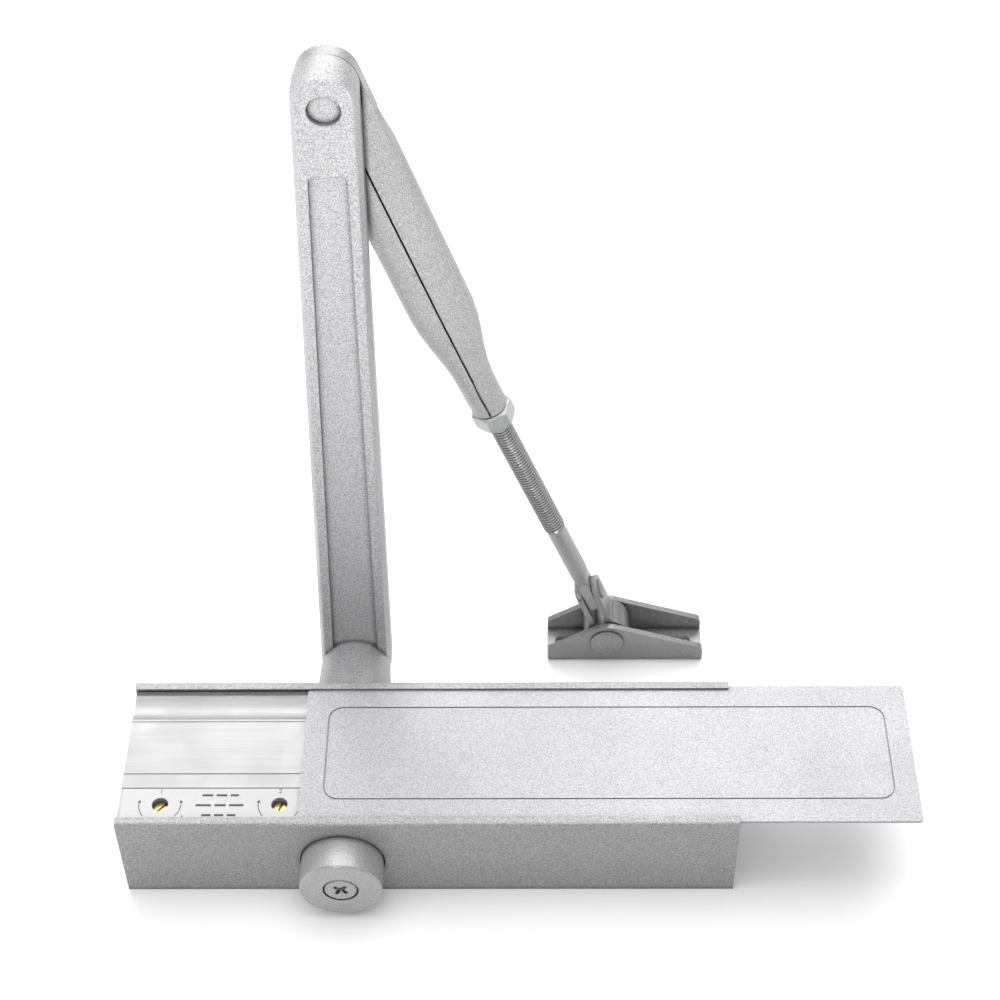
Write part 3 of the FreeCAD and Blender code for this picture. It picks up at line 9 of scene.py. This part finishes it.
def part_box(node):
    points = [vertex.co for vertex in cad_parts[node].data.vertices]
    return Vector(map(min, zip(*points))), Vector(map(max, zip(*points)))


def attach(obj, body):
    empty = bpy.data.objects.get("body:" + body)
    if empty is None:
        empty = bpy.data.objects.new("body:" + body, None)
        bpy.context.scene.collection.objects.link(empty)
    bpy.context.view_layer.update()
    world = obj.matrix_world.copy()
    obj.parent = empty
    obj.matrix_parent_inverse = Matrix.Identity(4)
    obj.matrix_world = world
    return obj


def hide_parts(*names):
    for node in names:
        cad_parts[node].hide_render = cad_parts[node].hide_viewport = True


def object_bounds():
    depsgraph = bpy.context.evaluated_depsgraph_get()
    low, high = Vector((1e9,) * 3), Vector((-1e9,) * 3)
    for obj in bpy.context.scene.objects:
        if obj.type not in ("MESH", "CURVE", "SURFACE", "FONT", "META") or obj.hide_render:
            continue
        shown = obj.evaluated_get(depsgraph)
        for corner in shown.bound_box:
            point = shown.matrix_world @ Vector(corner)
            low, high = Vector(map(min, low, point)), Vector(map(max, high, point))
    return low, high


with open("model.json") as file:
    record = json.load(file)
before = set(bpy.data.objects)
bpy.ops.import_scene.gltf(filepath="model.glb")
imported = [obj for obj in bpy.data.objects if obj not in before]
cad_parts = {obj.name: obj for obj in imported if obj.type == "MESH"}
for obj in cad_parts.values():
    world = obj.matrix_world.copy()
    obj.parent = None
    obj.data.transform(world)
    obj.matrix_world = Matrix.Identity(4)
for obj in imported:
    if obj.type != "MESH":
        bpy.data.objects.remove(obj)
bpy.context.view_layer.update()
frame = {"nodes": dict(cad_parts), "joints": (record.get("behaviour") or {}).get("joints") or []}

MM = 0.001
JOINTS = {joint["name"]: joint for joint in frame["joints"]}
NODES = frame["nodes"]


# ---------------------------------------------------------------- materials

NOISE_LOW, NOISE_HIGH = 0.3, 0.7      # most of a noise texture's values lie between these
# painted shade: the colour is darkened in crevices, recesses and seams
CREVICE_SAMPLES = 5
CREVICE_RANGE = (0.4, 0.97)           # how open a point is where the painted shade is darkest, and where it stops
CREVICE_DARK = 0.3
CREVICE_REACH = 2.4 * MM
FLAKE_SCALE = 2500.0                  # texture scales are in features a metre
FLAKE_DEPTH = 0.06 * MM
PEEL_SCALE, PEEL_DEPTH = 520.0, 0.09 * MM
STREAK_SCALE, STREAK_DEPTH = 900.0, 0.03 * MM
MOTTLE_SCALE, MOTTLE_DEPTH = 1200.0, 0.03 * MM


def new_material(name):
    """A node material, its tree, its shader and its object coordinates."""
    material = bpy.data.materials.new(name)
    material.use_nodes = True
    tree = material.node_tree
    shader = tree.nodes["Principled BSDF"]
    place = tree.nodes.new("ShaderNodeTexCoord")
    return material, tree, shader, place.outputs["Object"]


def noise(tree, place, scale, detail, rough, stretch=None):
    """A noise texture, drawn out along an axis where its stretch is small."""
    texture = tree.nodes.new("ShaderNodeTexNoise")
    texture.inputs["Scale"].default_value = scale
    texture.inputs["Detail"].default_value = detail
    texture.inputs["Roughness"].default_value = rough
    if stretch is not None:
        mapping = tree.nodes.new("ShaderNodeMapping")
        mapping.inputs["Scale"].default_value = stretch
        tree.links.new(place, mapping.inputs["Vector"])
        place = mapping.outputs["Vector"]
    tree.links.new(place, texture.inputs["Vector"])
    return texture.outputs["Fac"]


def ramp(tree, value, stops):
    """A colour ramp through (position, colour or grey) stops."""
    node = tree.nodes.new("ShaderNodeValToRGB")
    elements = node.color_ramp.elements
    while len(elements) < len(stops):
        elements.new(0.5)
    for element, (position, colour) in zip(elements, stops):
        element.position = position
        if not isinstance(colour, tuple):
            colour = (colour,) * 3
        element.color = (*colour, 1.0)
    tree.links.new(value, node.inputs["Fac"])
    return node.outputs["Color"]


def from_to(tree, pattern, low, high):
    """A ramp from low to high over a noise pattern's usual values."""
    return ramp(tree, pattern, [(NOISE_LOW, low), (NOISE_HIGH, high)])


def shaded(colour, factor):
    """A colour made lighter or darker by a factor."""
    return tuple(factor * part for part in colour)


def bump(tree, shader, heights):
    """Chained bumps from (height, strength, distance) entries."""
    normal = None
    for height, strength, distance in heights:
        node = tree.nodes.new("ShaderNodeBump")
        node.inputs["Strength"].default_value = strength
        node.inputs["Distance"].default_value = distance
        tree.links.new(height, node.inputs["Height"])
        if normal is not None:
            tree.links.new(normal, node.inputs["Normal"])
        normal = node.outputs["Normal"]
    tree.links.new(normal, shader.inputs["Normal"])


def paint_crevice_shade(tree, shader, colour, reach):
    """Paint shade into a colour in crevices, where real shade falls, and feed it to the shader."""
    crevice = tree.nodes.new("ShaderNodeAmbientOcclusion")
    crevice.samples = CREVICE_SAMPLES
    crevice.inputs["Distance"].default_value = reach
    darkest, unshaded = CREVICE_RANGE
    shade = ramp(tree, crevice.outputs["AO"], [(darkest, CREVICE_DARK), (unshaded, 1.0)])
    final = tree.nodes.new("ShaderNodeVectorMath")
    final.operation = "MULTIPLY"
    tree.links.new(colour, final.inputs[0])
    tree.links.new(shade, final.inputs[1])
    tree.links.new(final.outputs[0], shader.inputs["Base Color"])


def powder_coat(name, grey, tint=(1.0, 1.0, 1.0), metal=0.25, rough=0.42, speckle=0.4,
                reach=CREVICE_REACH):
    """Silver powder coat: fine bright and dark flakes over a slightly uneven skin."""
    material, tree, shader, place = new_material(name)
    flakes = noise(tree, place, FLAKE_SCALE, 2.0, 0.75)
    colour = ramp(tree, flakes, [(0.33, shaded(tint, grey * (1 - speckle))),
                                 (0.5, shaded(tint, grey)),
                                 (0.68, shaded(tint, grey * (1 + speckle)))])
    # painted shade in crevices and recesses, over the flakes
    paint_crevice_shade(tree, shader, colour, reach)
    cloud = noise(tree, place, 45.0, 2.0, 0.5)
    tree.links.new(from_to(tree, cloud, rough - 0.04, rough + 0.05), shader.inputs["Roughness"])
    shader.inputs["Metallic"].default_value = metal
    peel = noise(tree, place, PEEL_SCALE, 2.0, 0.5)
    bump(tree, shader, [(peel, 0.25, PEEL_DEPTH), (flakes, 0.5, FLAKE_DEPTH)])
    return material


def brushed(name, grey, stretch=(1.0, 1.0, 1.0), metal=1.0, rough=0.28, streak=0.1,
            tint=(1.0, 1.0, 1.0)):
    """Bare turned or drawn metal, with fine streaks along the axis whose stretch is small."""
    material, tree, shader, place = new_material(name)
    streaks = noise(tree, place, STREAK_SCALE, 3.0, 0.65, stretch)
    darker = shaded(tint, grey * (1 - streak))
    lighter = shaded(tint, grey * (1 + streak))
    tree.links.new(from_to(tree, streaks, darker, lighter), shader.inputs["Base Color"])
    stains = noise(tree, place, 60.0, 3.0, 0.55)
    tree.links.new(from_to(tree, stains, rough - 0.05, rough + 0.08), shader.inputs["Roughness"])
    shader.inputs["Metallic"].default_value = metal
    bump(tree, shader, [(streaks, 0.35, STREAK_DEPTH)])
    return material


def plain(name, colour, rough, metal=0.0, spread=0.06):
    """Rubber, nylon, print, plating or cast metal: a quiet mottled surface."""
    material, tree, shader, place = new_material(name)
    mottle = noise(tree, place, MOTTLE_SCALE, 3.0, 0.6)
    mottled = from_to(tree, mottle, shaded(colour, 1 - spread), shaded(colour, 1 + spread))
    tree.links.new(mottled, shader.inputs["Base Color"])
    broad = noise(tree, place, 90.0, 2.0, 0.5)
    tree.links.new(from_to(tree, broad, rough - 0.04, rough + 0.04), shader.inputs["Roughness"])
    shader.inputs["Metallic"].default_value = metal
    bump(tree, shader, [(mottle, 0.3, MOTTLE_DEPTH)])
    return material


COAT = powder_coat("silver_coat_body", 0.305, rough=0.46, speckle=0.55)
COAT_ARM = powder_coat("silver_coat_arm", 0.35, (1.0, 0.998, 1.015), rough=0.44, speckle=0.55)
COAT_FOREARM = powder_coat("silver_coat_forearm", 0.315, metal=0.35, rough=0.4, speckle=0.5)
COAT_COVER = powder_coat("silver_coat_cover", 0.355, (0.993, 0.985, 1.03))
COAT_FOOT = powder_coat("silver_coat_foot", 0.225, metal=0.4, rough=0.36)
COAT_CAP = powder_coat("silver_coat_cap", 0.4, metal=0.45, speckle=0.32)
DECK = brushed("bright_deck", 0.295, (0.02, 1.0, 1.0), metal=0.5, rough=0.34, streak=0.06)
STEEL = brushed("turned_steel", 0.55, rough=0.3)
ZINC = plain("zinc_plate", (0.35, 0.355, 0.355), 0.32, metal=0.7, spread=0.14)
ROD = powder_coat("rolled_steel", 0.30, metal=0.5, rough=0.38, speckle=0.2, reach=1.2 * MM)
# painted shade: a near-black copy of the rod's coat for the faces deep in the thread
THREAD_ROOT_SHADE = powder_coat("thread_root_shade", 0.06, metal=0.4, rough=0.5, speckle=0.2, reach=1.2 * MM)
BRASS = brushed("turned_brass", 0.55, rough=0.25, tint=(1.0, 0.78, 0.38))
SPRING = plain("spring_wire", (0.3, 0.3, 0.31), 0.4, metal=0.9)
RUBBER = plain("black_rubber", (0.02, 0.02, 0.02), 0.7, spread=0.2)
NYLON = plain("dark_nylon", (0.03, 0.03, 0.03), 0.45)
PRINT = plain("white_print", (0.48, 0.48, 0.48), 0.4, spread=0.03)
INK = plain("black_ink", (0.02, 0.02, 0.022), 0.45, spread=0.15)
IRON = plain("machined_iron", (0.33, 0.33, 0.34), 0.38, metal=0.9)

FINISH = {
    "body_housing": COAT, "setting_label": PRINT, "end_plug_left": STEEL, "end_plug_right": STEEL,
    "end_plug_seals": RUBBER, "spindle_bearings": STEEL, "bearing_glands": STEEL, "spindle_seals": RUBBER,
    "valve_seals": RUBBER, "main_spring_outer": SPRING, "main_spring_inner": SPRING, "spring_seat": STEEL,
    "adjuster_seal": RUBBER, "adjuster_clip": SPRING, "pinion_shaft": STEEL, "main_arm": COAT_ARM,
    "arm_washer": ZINC, "arm_screw": ZINC, "spindle_cap": COAT_CAP, "cap_screw": COAT_CAP,
    "elbow_rivet": COAT_ARM, "piston": IRON, "check_ball": STEEL, "check_valve_retainer": BRASS,
    "power_adjuster": ZINC, "cover_plate": COAT_COVER, "latching_valve": BRASS, "closing_valve": BRASS,
    "forearm": COAT_FOREARM, "elbow_washer": NYLON, "threaded_insert": ZINC, "lock_nut": ZINC,
    "adjusting_rod": ROD, "stirrup": COAT_FOOT, "rod_pin": COAT_FOOT, "foot_bracket": COAT_FOOT,
    "foot_rivet": COAT_FOOT,
}

DECK_ABOVE_LABEL = 0.6 * MM
DECK_BELOW_LABEL = 1.0 * MM
RAIL_BEYOND_LABEL = 0.7 * MM


def dress_nodes():
    """Give every CAD node its finish, and the bare deck between the rails its own."""
    for name, material in FINISH.items():
        mesh = NODES[name].data
        mesh.materials.clear()
        mesh.materials.append(material)
    housing = NODES["body_housing"].data
    housing.materials.append(DECK)
    label_low, label_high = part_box("setting_label")
    deck_low = label_low.z - DECK_BELOW_LABEL
    deck_high = label_high.z + DECK_ABOVE_LABEL
    rail = -label_low.y + RAIL_BEYOND_LABEL
    for face in housing.polygons:
        inside = deck_low < face.center.z < deck_high and abs(face.center.y) < rail
        face.material_index = 1 if inside else 0


dress_nodes()


# ---------------------------------------------------------------- mesh helpers

SMOOTH_ANGLE = math.radians(35.0)


def make_piece(name, vertices, faces, material, body):
    """A mesh object in the row frame that rides on a CAD body."""
    mesh = bpy.data.meshes.new(name)
    mesh.from_pydata([tuple(vertex) for vertex in vertices], [], faces)
    mesh.validate()
    outward = bmesh.new()
    outward.from_mesh(mesh)
    bmesh.ops.recalc_face_normals(outward, faces=outward.faces)
    outward.to_mesh(mesh)
    outward.free()
    for face in mesh.polygons:
        face.use_smooth = True
    mesh.set_sharp_from_angle(angle=SMOOTH_ANGLE)
    mesh.materials.append(material)
    piece = bpy.data.objects.new(name, mesh)
    bpy.context.scene.collection.objects.link(piece)
    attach(piece, body)
    return piece


def skin(rings):
    """Faces through rings of equal length, first ring to last, with flat end caps."""
    size = len(rings[0])
    vertices = [point for ring in rings for point in ring]
    faces = []
    for row in range(len(rings) - 1):
        for column in range(size):
            after = (column + 1) % size
            faces.append((row * size + column, row * size + after,
                          (row + 1) * size + after, (row + 1) * size + column))
    faces.append(tuple(reversed(range(size))))
    faces.append(tuple(range(len(vertices) - size, len(vertices))))
    return vertices, faces


def merged(*parts):
    """Several (vertices, faces) meshes as one."""
    vertices, faces = [], []
    for part_vertices, part_faces in parts:
        base = len(vertices)
        vertices += part_vertices
        faces += [tuple(base + index for index in face) for face in part_faces]
    return vertices, faces


def circle_angles(count):
    """Equal steps round a full turn."""
    return [2 * math.pi * step / count for step in range(count)]


def superellipse(half_wide, half_deep, fullness, count):
    """Points round a closed curve that goes from an ellipse (2) towards a rectangle."""
    ring = []
    for angle in circle_angles(count):
        side, front = math.cos(angle), math.sin(angle)
        ring.append((half_wide * math.copysign(abs(side) ** (2 / fullness), side),
                     half_deep * math.copysign(abs(front) ** (2 / fullness), front)))
    return ring


def between(start, end, share):
    """The value a share of the way from start to end."""
    return start + (end - start) * share


def ease(share):
    """Smooth step from 0 to 1."""
    share = min(1.0, max(0.0, share))
    return share * share * (3 - 2 * share)


# ---------------------------------------------------------------- adjusting rod

ROD_SIDES = 40
ROD_SHANK = 4.1 * MM                  # radii
ROD_CREST = 4.5 * MM
ROD_ROOT = 3.6 * MM
ROD_PITCH = 1.5 * MM
ROD_TOP = 161.7 * MM                  # heights above the pin
THREAD_START = 44.6 * MM
THREAD_SHOWN = 128.0 * MM             # above this the thread is hidden in the nut and the insert
LEAD_IN = 2.0 * MM
RINGS_A_TURN = 9
RIDGE_FULLNESS = 0.8                  # below 1 the ridges are fuller than a plain wave
ROOT_SHARE = 0.45                     # the lower share of the thread's depth, which gets painted shade
NECK_START = 9.0 * MM
NECK_LONG = 8.0 * MM
NECK_STEP = 1.5 * MM
NECK_RINGS = 7
NECK_FULLNESS = 6.0
NECK_INSET = 0.02 * MM
TONGUE_SIDES = 48
TONGUE_WIDE = 5.0 * MM                # half its width, and half its thickness
TONGUE_THICK = 2.2 * MM
TONGUE_TIP = 8.6 * MM
TONGUE_TOP = 10.0 * MM
TONGUE_CHAMFER = 1.6 * MM
PIN_HOLE = 3.05 * MM
NEAR_ZERO = 1e-6


def rod_space():
    """The rod's own frame: origin on the pin, +Z up the rod, +X along the pin."""
    origin = Vector(JOINTS["stirrup_tilt"]["pos_m"])
    along = Vector(JOINTS["rod_adjust"]["axis"]).normalized()
    across = Vector(JOINTS["stirrup_tilt"]["axis"]).normalized()
    depth = along.cross(across)
    return Matrix.Translation(origin) @ Matrix((across, depth, along)).transposed().to_4x4()


def thread_radius(height, angle):
    """The rolled thread's radius: a rounded ridge that winds up the rod and fades in at its start."""
    turn = (height / ROD_PITCH - angle / (2 * math.pi)) % 1.0
    ridge = (0.5 - 0.5 * math.cos(2 * math.pi * turn)) ** RIDGE_FULLNESS
    fade = ease((height - THREAD_START) / (1.5 * ROD_PITCH))
    return between(ROD_SHANK, between(ROD_ROOT, ROD_CREST, ridge), fade)


def round_ring(height, radii):
    """A ring of points round the rod, from its radius at each angle."""
    return [Vector((radius * math.cos(angle), radius * math.sin(angle), height))
            for angle, radius in zip(circle_angles(ROD_SIDES), radii)]


def neck_rings():
    """Rings where the flat tongue turns into the round shank."""
    rings = []
    for step in range(NECK_RINGS):
        share = ease(NECK_STEP * step / NECK_LONG)
        thick = between(TONGUE_THICK, ROD_SHANK, share)
        wide = between(TONGUE_WIDE, ROD_SHANK, share) - NECK_INSET
        outline = superellipse(thick, wide, between(NECK_FULLNESS, 2.0, share), ROD_SIDES)
        rings.append([Vector((x, y, NECK_START + NECK_STEP * step)) for x, y in outline])
    return rings


def thread_rings():
    """Rings from just below the thread's start to the nut."""
    start = THREAD_START - LEAD_IN
    rings = []
    for step in range(int((THREAD_SHOWN - start) / ROD_PITCH * RINGS_A_TURN)):
        height = start + ROD_PITCH * step / RINGS_A_TURN
        radii = [thread_radius(height, angle) for angle in circle_angles(ROD_SIDES)]
        rings.append(round_ring(height, radii))
    return rings


def hidden_rings():
    """Rings of the rod's end inside the nut and the insert, with its chamfer."""
    ends = ((THREAD_SHOWN + MM, ROD_CREST), (ROD_TOP - MM, ROD_CREST), (ROD_TOP, ROD_SHANK))
    return [round_ring(height, [radius] * ROD_SIDES) for height, radius in ends]


def tongue():
    """The flattened end of the rod: a plate with chamfered corners and the pin's hole through it."""
    outer, inner = [], []
    for step in range(TONGUE_SIDES):
        angle = 2 * math.pi * (step + 0.5) / TONGUE_SIDES
        side, rise = math.cos(angle), math.sin(angle)
        end = TONGUE_TIP if rise < 0 else TONGUE_TOP
        reach = min(TONGUE_WIDE / max(abs(side), NEAR_ZERO), end / max(abs(rise), NEAR_ZERO))
        if rise < 0:
            corner = TONGUE_WIDE + TONGUE_TIP - TONGUE_CHAMFER
            reach = min(reach, corner / (abs(side) + abs(rise)))
        outer.append((side * reach, rise * reach))
        inner.append((side * PIN_HOLE, rise * PIN_HOLE))
    vertices, faces = [], []
    for x in (-TONGUE_THICK, TONGUE_THICK):
        for loop in (outer, inner):
            vertices += [Vector((x, y, z)) for y, z in loop]
    for step in range(TONGUE_SIDES):
        after = (step + 1) % TONGUE_SIDES
        for first, second in ((0, 1), (1, 3), (3, 2), (2, 0)):
            faces.append((first * TONGUE_SIDES + step, first * TONGUE_SIDES + after,
                          second * TONGUE_SIDES + after, second * TONGUE_SIDES + step))
    return vertices, faces


def paint_root_shade(rod, to_rod):
    """Give the faces in the thread's grooves the dark second material, painted shade where the grooves
    are shaded.
    """
    rod.data.materials.append(THREAD_ROOT_SHADE)
    deep = between(ROD_ROOT, ROD_CREST, ROOT_SHARE)
    for face in rod.data.polygons:
        place = to_rod @ face.center
        threaded = THREAD_START + ROD_PITCH < place.z < THREAD_SHOWN
        face.material_index = 1 if threaded and math.hypot(place.x, place.y) < deep else 0


def build_rod():
    """The adjusting rod with its rolled thread and flattened end, in place of the plain CAD rod."""
    rings = neck_rings() + thread_rings() + hidden_rings()
    vertices, faces = merged(skin(rings), tongue())
    space = rod_space()
    placed = [space @ vertex for vertex in vertices]
    rod = make_piece("adjusting_rod_threaded", placed, faces, ROD, "rod")
    paint_root_shade(rod, space.inverted())
    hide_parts("adjusting_rod")


# ---------------------------------------------------------------- marks on the setting label

LABEL_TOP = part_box("setting_label")[1].z
INK_HIGH = 0.03 * MM
VALVES = {name: Vector(JOINTS[name + "_turn"]["pos_m"]) for name in ("latching_valve", "closing_valve")}
STROKE = 0.35 * MM
ARC_RADIUS = 8.2 * MM
ARC_STEPS = 16
ARCS = ((222.0, 174.0), (-42.0, 6.0))  # start and end of each arrow round a valve, in degrees
ARROW_LONG = 0.16                     # radians along the arc
ARROW_WIDE = 2.2 * STROKE
DIGIT_RISE = 6.2 * MM
DIGIT_SIZE = 2.9 * MM
SIGN_DROP = 6.3 * MM
SIGN_LONG = 2.4 * MM
SIGN_TALL = 2.2 * MM
SIGN_THICK = 0.5 * MM
MINUS_LEFT = 10.0 * MM
PLUS_RIGHT = 9.0 * MM
TEXT_ROWS = ((4.3, (4.2, 4.2, 3.2)), (-0.4, (6.0, 4.4, 5.6)), (-5.1, (3.6, 3.6, 3.4)))  # rise, widths
TEXT_GAP = 1.3
TEXT_THICK = 1.0


def flat_mark(outline):
    """A thin raised mark on the label from its closed outline of (x, y) points."""
    count = len(outline)
    vertices = [Vector((x, y, z)) for z in (LABEL_TOP, LABEL_TOP + INK_HIGH) for x, y in outline]
    faces = [tuple(reversed(range(count))), tuple(range(count, 2 * count))]
    for step in range(count):
        after = (step + 1) % count
        faces.append((step, after, count + after, count + step))
    return vertices, faces


def bar(x, y, wide, high):
    """A rectangular mark about its middle."""
    return flat_mark([(x - wide / 2, y - high / 2), (x + wide / 2, y - high / 2),
                      (x + wide / 2, y + high / 2), (x - wide / 2, y + high / 2)])


def arc_mark(x, y, start, end):
    """A curved line round a valve, with a small arrowhead where it ends."""
    def point(radius, angle):
        return x + radius * math.cos(angle), y + radius * math.sin(angle)

    angles = [math.radians(between(start, end, step / ARC_STEPS)) for step in range(ARC_STEPS + 1)]
    outside = [point(ARC_RADIUS + STROKE / 2, angle) for angle in angles]
    inside = [point(ARC_RADIUS - STROKE / 2, angle) for angle in angles]
    last = angles[-1]
    tip = last + math.copysign(ARROW_LONG, end - start)
    head = [point(ARC_RADIUS + ARROW_WIDE, last),
            point(ARC_RADIUS, tip),
            point(ARC_RADIUS - ARROW_WIDE, last)]
    return [flat_mark(outside + inside[::-1]), flat_mark(head)]


def numeral(text, x, y):
    """A plain digit as a flat mark."""
    curve = bpy.data.curves.new("digit", "FONT")
    curve.body = text
    curve.size = DIGIT_SIZE
    curve.align_x = "CENTER"
    curve.align_y = "CENTER"
    curve.extrude = INK_HIGH / 2
    holder = bpy.data.objects.new("digit", curve)
    mesh = bpy.data.meshes.new_from_object(holder)
    middle = Vector((x, y, LABEL_TOP + INK_HIGH / 2))
    vertices = [vertex.co + middle for vertex in mesh.vertices]
    faces = [tuple(face.vertices) for face in mesh.polygons]
    bpy.data.objects.remove(holder)
    bpy.data.curves.remove(curve)
    bpy.data.meshes.remove(mesh)
    return vertices, faces


def valve_marks(digit, x, y):
    """The arrows, digit, minus and plus round one valve."""
    parts = [mark for start, end in ARCS for mark in arc_mark(x, y, start, end)]
    parts.append(numeral(digit, x, y + DIGIT_RISE))
    parts.append(bar(x - MINUS_LEFT, y - SIGN_DROP, SIGN_LONG, SIGN_THICK))
    parts.append(bar(x + PLUS_RIGHT, y - SIGN_DROP, SIGN_LONG, SIGN_THICK))
    parts.append(bar(x + PLUS_RIGHT, y - SIGN_DROP, SIGN_THICK, SIGN_TALL))
    return parts


def text_bars(x_middle, y_middle):
    """Rows of plain bars in the place of words."""
    parts = []
    for rise, widths in TEXT_ROWS:
        x = x_middle - (sum(widths) + TEXT_GAP * (len(widths) - 1)) / 2 * MM
        for wide in widths:
            parts.append(bar(x + wide / 2 * MM, y_middle + rise * MM, wide * MM, TEXT_THICK * MM))
            x += (wide + TEXT_GAP) * MM
    return parts


def build_marks():
    """All printed marks on the setting label, as one piece."""
    latching, closing = VALVES["latching_valve"], VALVES["closing_valve"]
    parts = valve_marks("1", latching.x, latching.y) + valve_marks("2", closing.x, closing.y)
    parts += text_bars((latching.x + closing.x) / 2, closing.y)
    marks = make_piece("setting_marks", *merged(*parts), INK, "closer_body")


build_rod()
build_marks()


# ---------------------------------------------------------------- stage, light and camera

FLOOR_SIZE = 12.0
FLOOR_GAP = 0.05 * MM
ZENITH = 0.96                         # how bright the sky is overhead, and low down
HORIZON = 0.057
HORIZON_TOP = 0.25                    # the height, as a sine, from which the sky brightens
LAMPS = (                             # name, place, aim, size, watts, and spread in degrees
    ("overhead", (0.1, 0.5, 3.0), (0.05, 0.0, 0.0), (2.4, 2.0), 21.6, 180.0),
    ("arm_front", (-0.15, -1.2, 0.95), (0.0, 0.06, 0.3), (0.3, 0.2), 0.6, 22.0),
    ("left_key", (-1.2, -0.2, 0.6), (0.05, 0.0, 0.1), (0.8, 0.8), 4.6, 180.0),
    ("back_top", (0.1, 2.2, 2.2), (0.05, 0.0, 0.0), (2.8, 1.2), 60.0, 180.0),
    ("back_low", (0.2, 1.1, 0.5), (0.05, 0.0, 0.0), (1.4, 0.4), 1.3, 180.0),
    ("right_low", (1.2, -0.3, 0.45), (0.1, 0.0, 0.0), (0.6, 0.4), 0.9, 180.0),
    ("sky_wide", (0.1, 0.0, 2.2), (0.1, 0.0, 0.0), (3.0, 3.0), 23.0, 180.0),
)
CAMERA_PLACE = (0.0733, -0.5045, 0.7104)
CAMERA_ANGLES = (46.09, -1.14, -1.0)  # pitch down, yaw and roll in degrees
CAMERA_LENS = 75.9
CAMERA_SENSOR = 36.0


def make_stage():
    """A wide pale floor just under the closer."""
    lowest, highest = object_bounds()
    centre = (lowest + highest) / 2
    place = (centre.x, centre.y, lowest.z - FLOOR_GAP)
    bpy.ops.mesh.primitive_plane_add(size=FLOOR_SIZE, location=place)
    floor = bpy.context.object
    floor.name = "floor"
    material, tree, shader, coordinates = new_material("pale_floor")
    grain = noise(tree, coordinates, 30.0, 2.0, 0.5)
    tree.links.new(from_to(tree, grain, 0.925, 0.94), shader.inputs["Base Color"])
    shader.inputs["Roughness"].default_value = 0.9
    shader.inputs["Specular IOR Level"].default_value = 0.1
    floor.data.materials.append(material)


def area_light(name, place, aim, size, power, spread):
    """A rectangular lamp that points from its place at its aim."""
    data = bpy.data.lights.new(name, "AREA")
    data.shape = "RECTANGLE"
    data.size, data.size_y = size
    data.energy = power
    data.spread = math.radians(spread)
    lamp = bpy.data.objects.new(name, data)
    bpy.context.scene.collection.objects.link(lamp)
    lamp.location = place
    lamp.rotation_mode = "QUATERNION"
    lamp.rotation_quaternion = (Vector(aim) - Vector(place)).to_track_quat("-Z", "Y")


def make_world():
    """A studio sky: bright overhead and darker towards the horizon."""
    world = bpy.data.worlds.new("studio")
    world.use_nodes = True
    tree = world.node_tree
    place = tree.nodes.new("ShaderNodeTexCoord")
    parts = tree.nodes.new("ShaderNodeSeparateXYZ")
    tree.links.new(place.outputs["Generated"], parts.inputs["Vector"])
    level = HORIZON / ZENITH
    shade = ramp(tree, parts.outputs["Z"], [(0.0, level), (HORIZON_TOP, level), (1.0, 1.0)])
    sky = tree.nodes["Background"]
    tree.links.new(shade, sky.inputs["Color"])
    sky.inputs["Strength"].default_value = ZENITH
    bpy.context.scene.world = world


def make_lights():
    """The sky and the studio lamps."""
    make_world()
    for lamp in LAMPS:
        area_light(*lamp)
    bpy.context.scene.view_settings.view_transform = "Standard"


def make_camera():
    """A camera in front of the closer and above it, in the row frame."""
    pitch, yaw, roll = (math.radians(angle) for angle in CAMERA_ANGLES)
    forward = Vector((math.sin(yaw) * math.cos(pitch), math.cos(yaw) * math.cos(pitch), -math.sin(pitch)))
    level = Vector((math.cos(yaw), -math.sin(yaw), 0.0))
    rise = level.cross(forward)
    right = level * math.cos(roll) + rise * math.sin(roll)
    up = rise * math.cos(roll) - level * math.sin(roll)
    data = bpy.data.cameras.new("camera")
    data.sensor_width = CAMERA_SENSOR
    data.lens = CAMERA_LENS
    data.clip_start, data.clip_end = 0.01, 20.0
    camera = bpy.data.objects.new("camera", data)
    bpy.context.scene.collection.objects.link(camera)
    rotation = Matrix((right, up, -forward)).transposed().to_4x4()
    camera.matrix_world = Matrix.Translation(CAMERA_PLACE) @ rotation
    bpy.context.scene.camera = camera


make_stage()
make_lights()
make_camera()
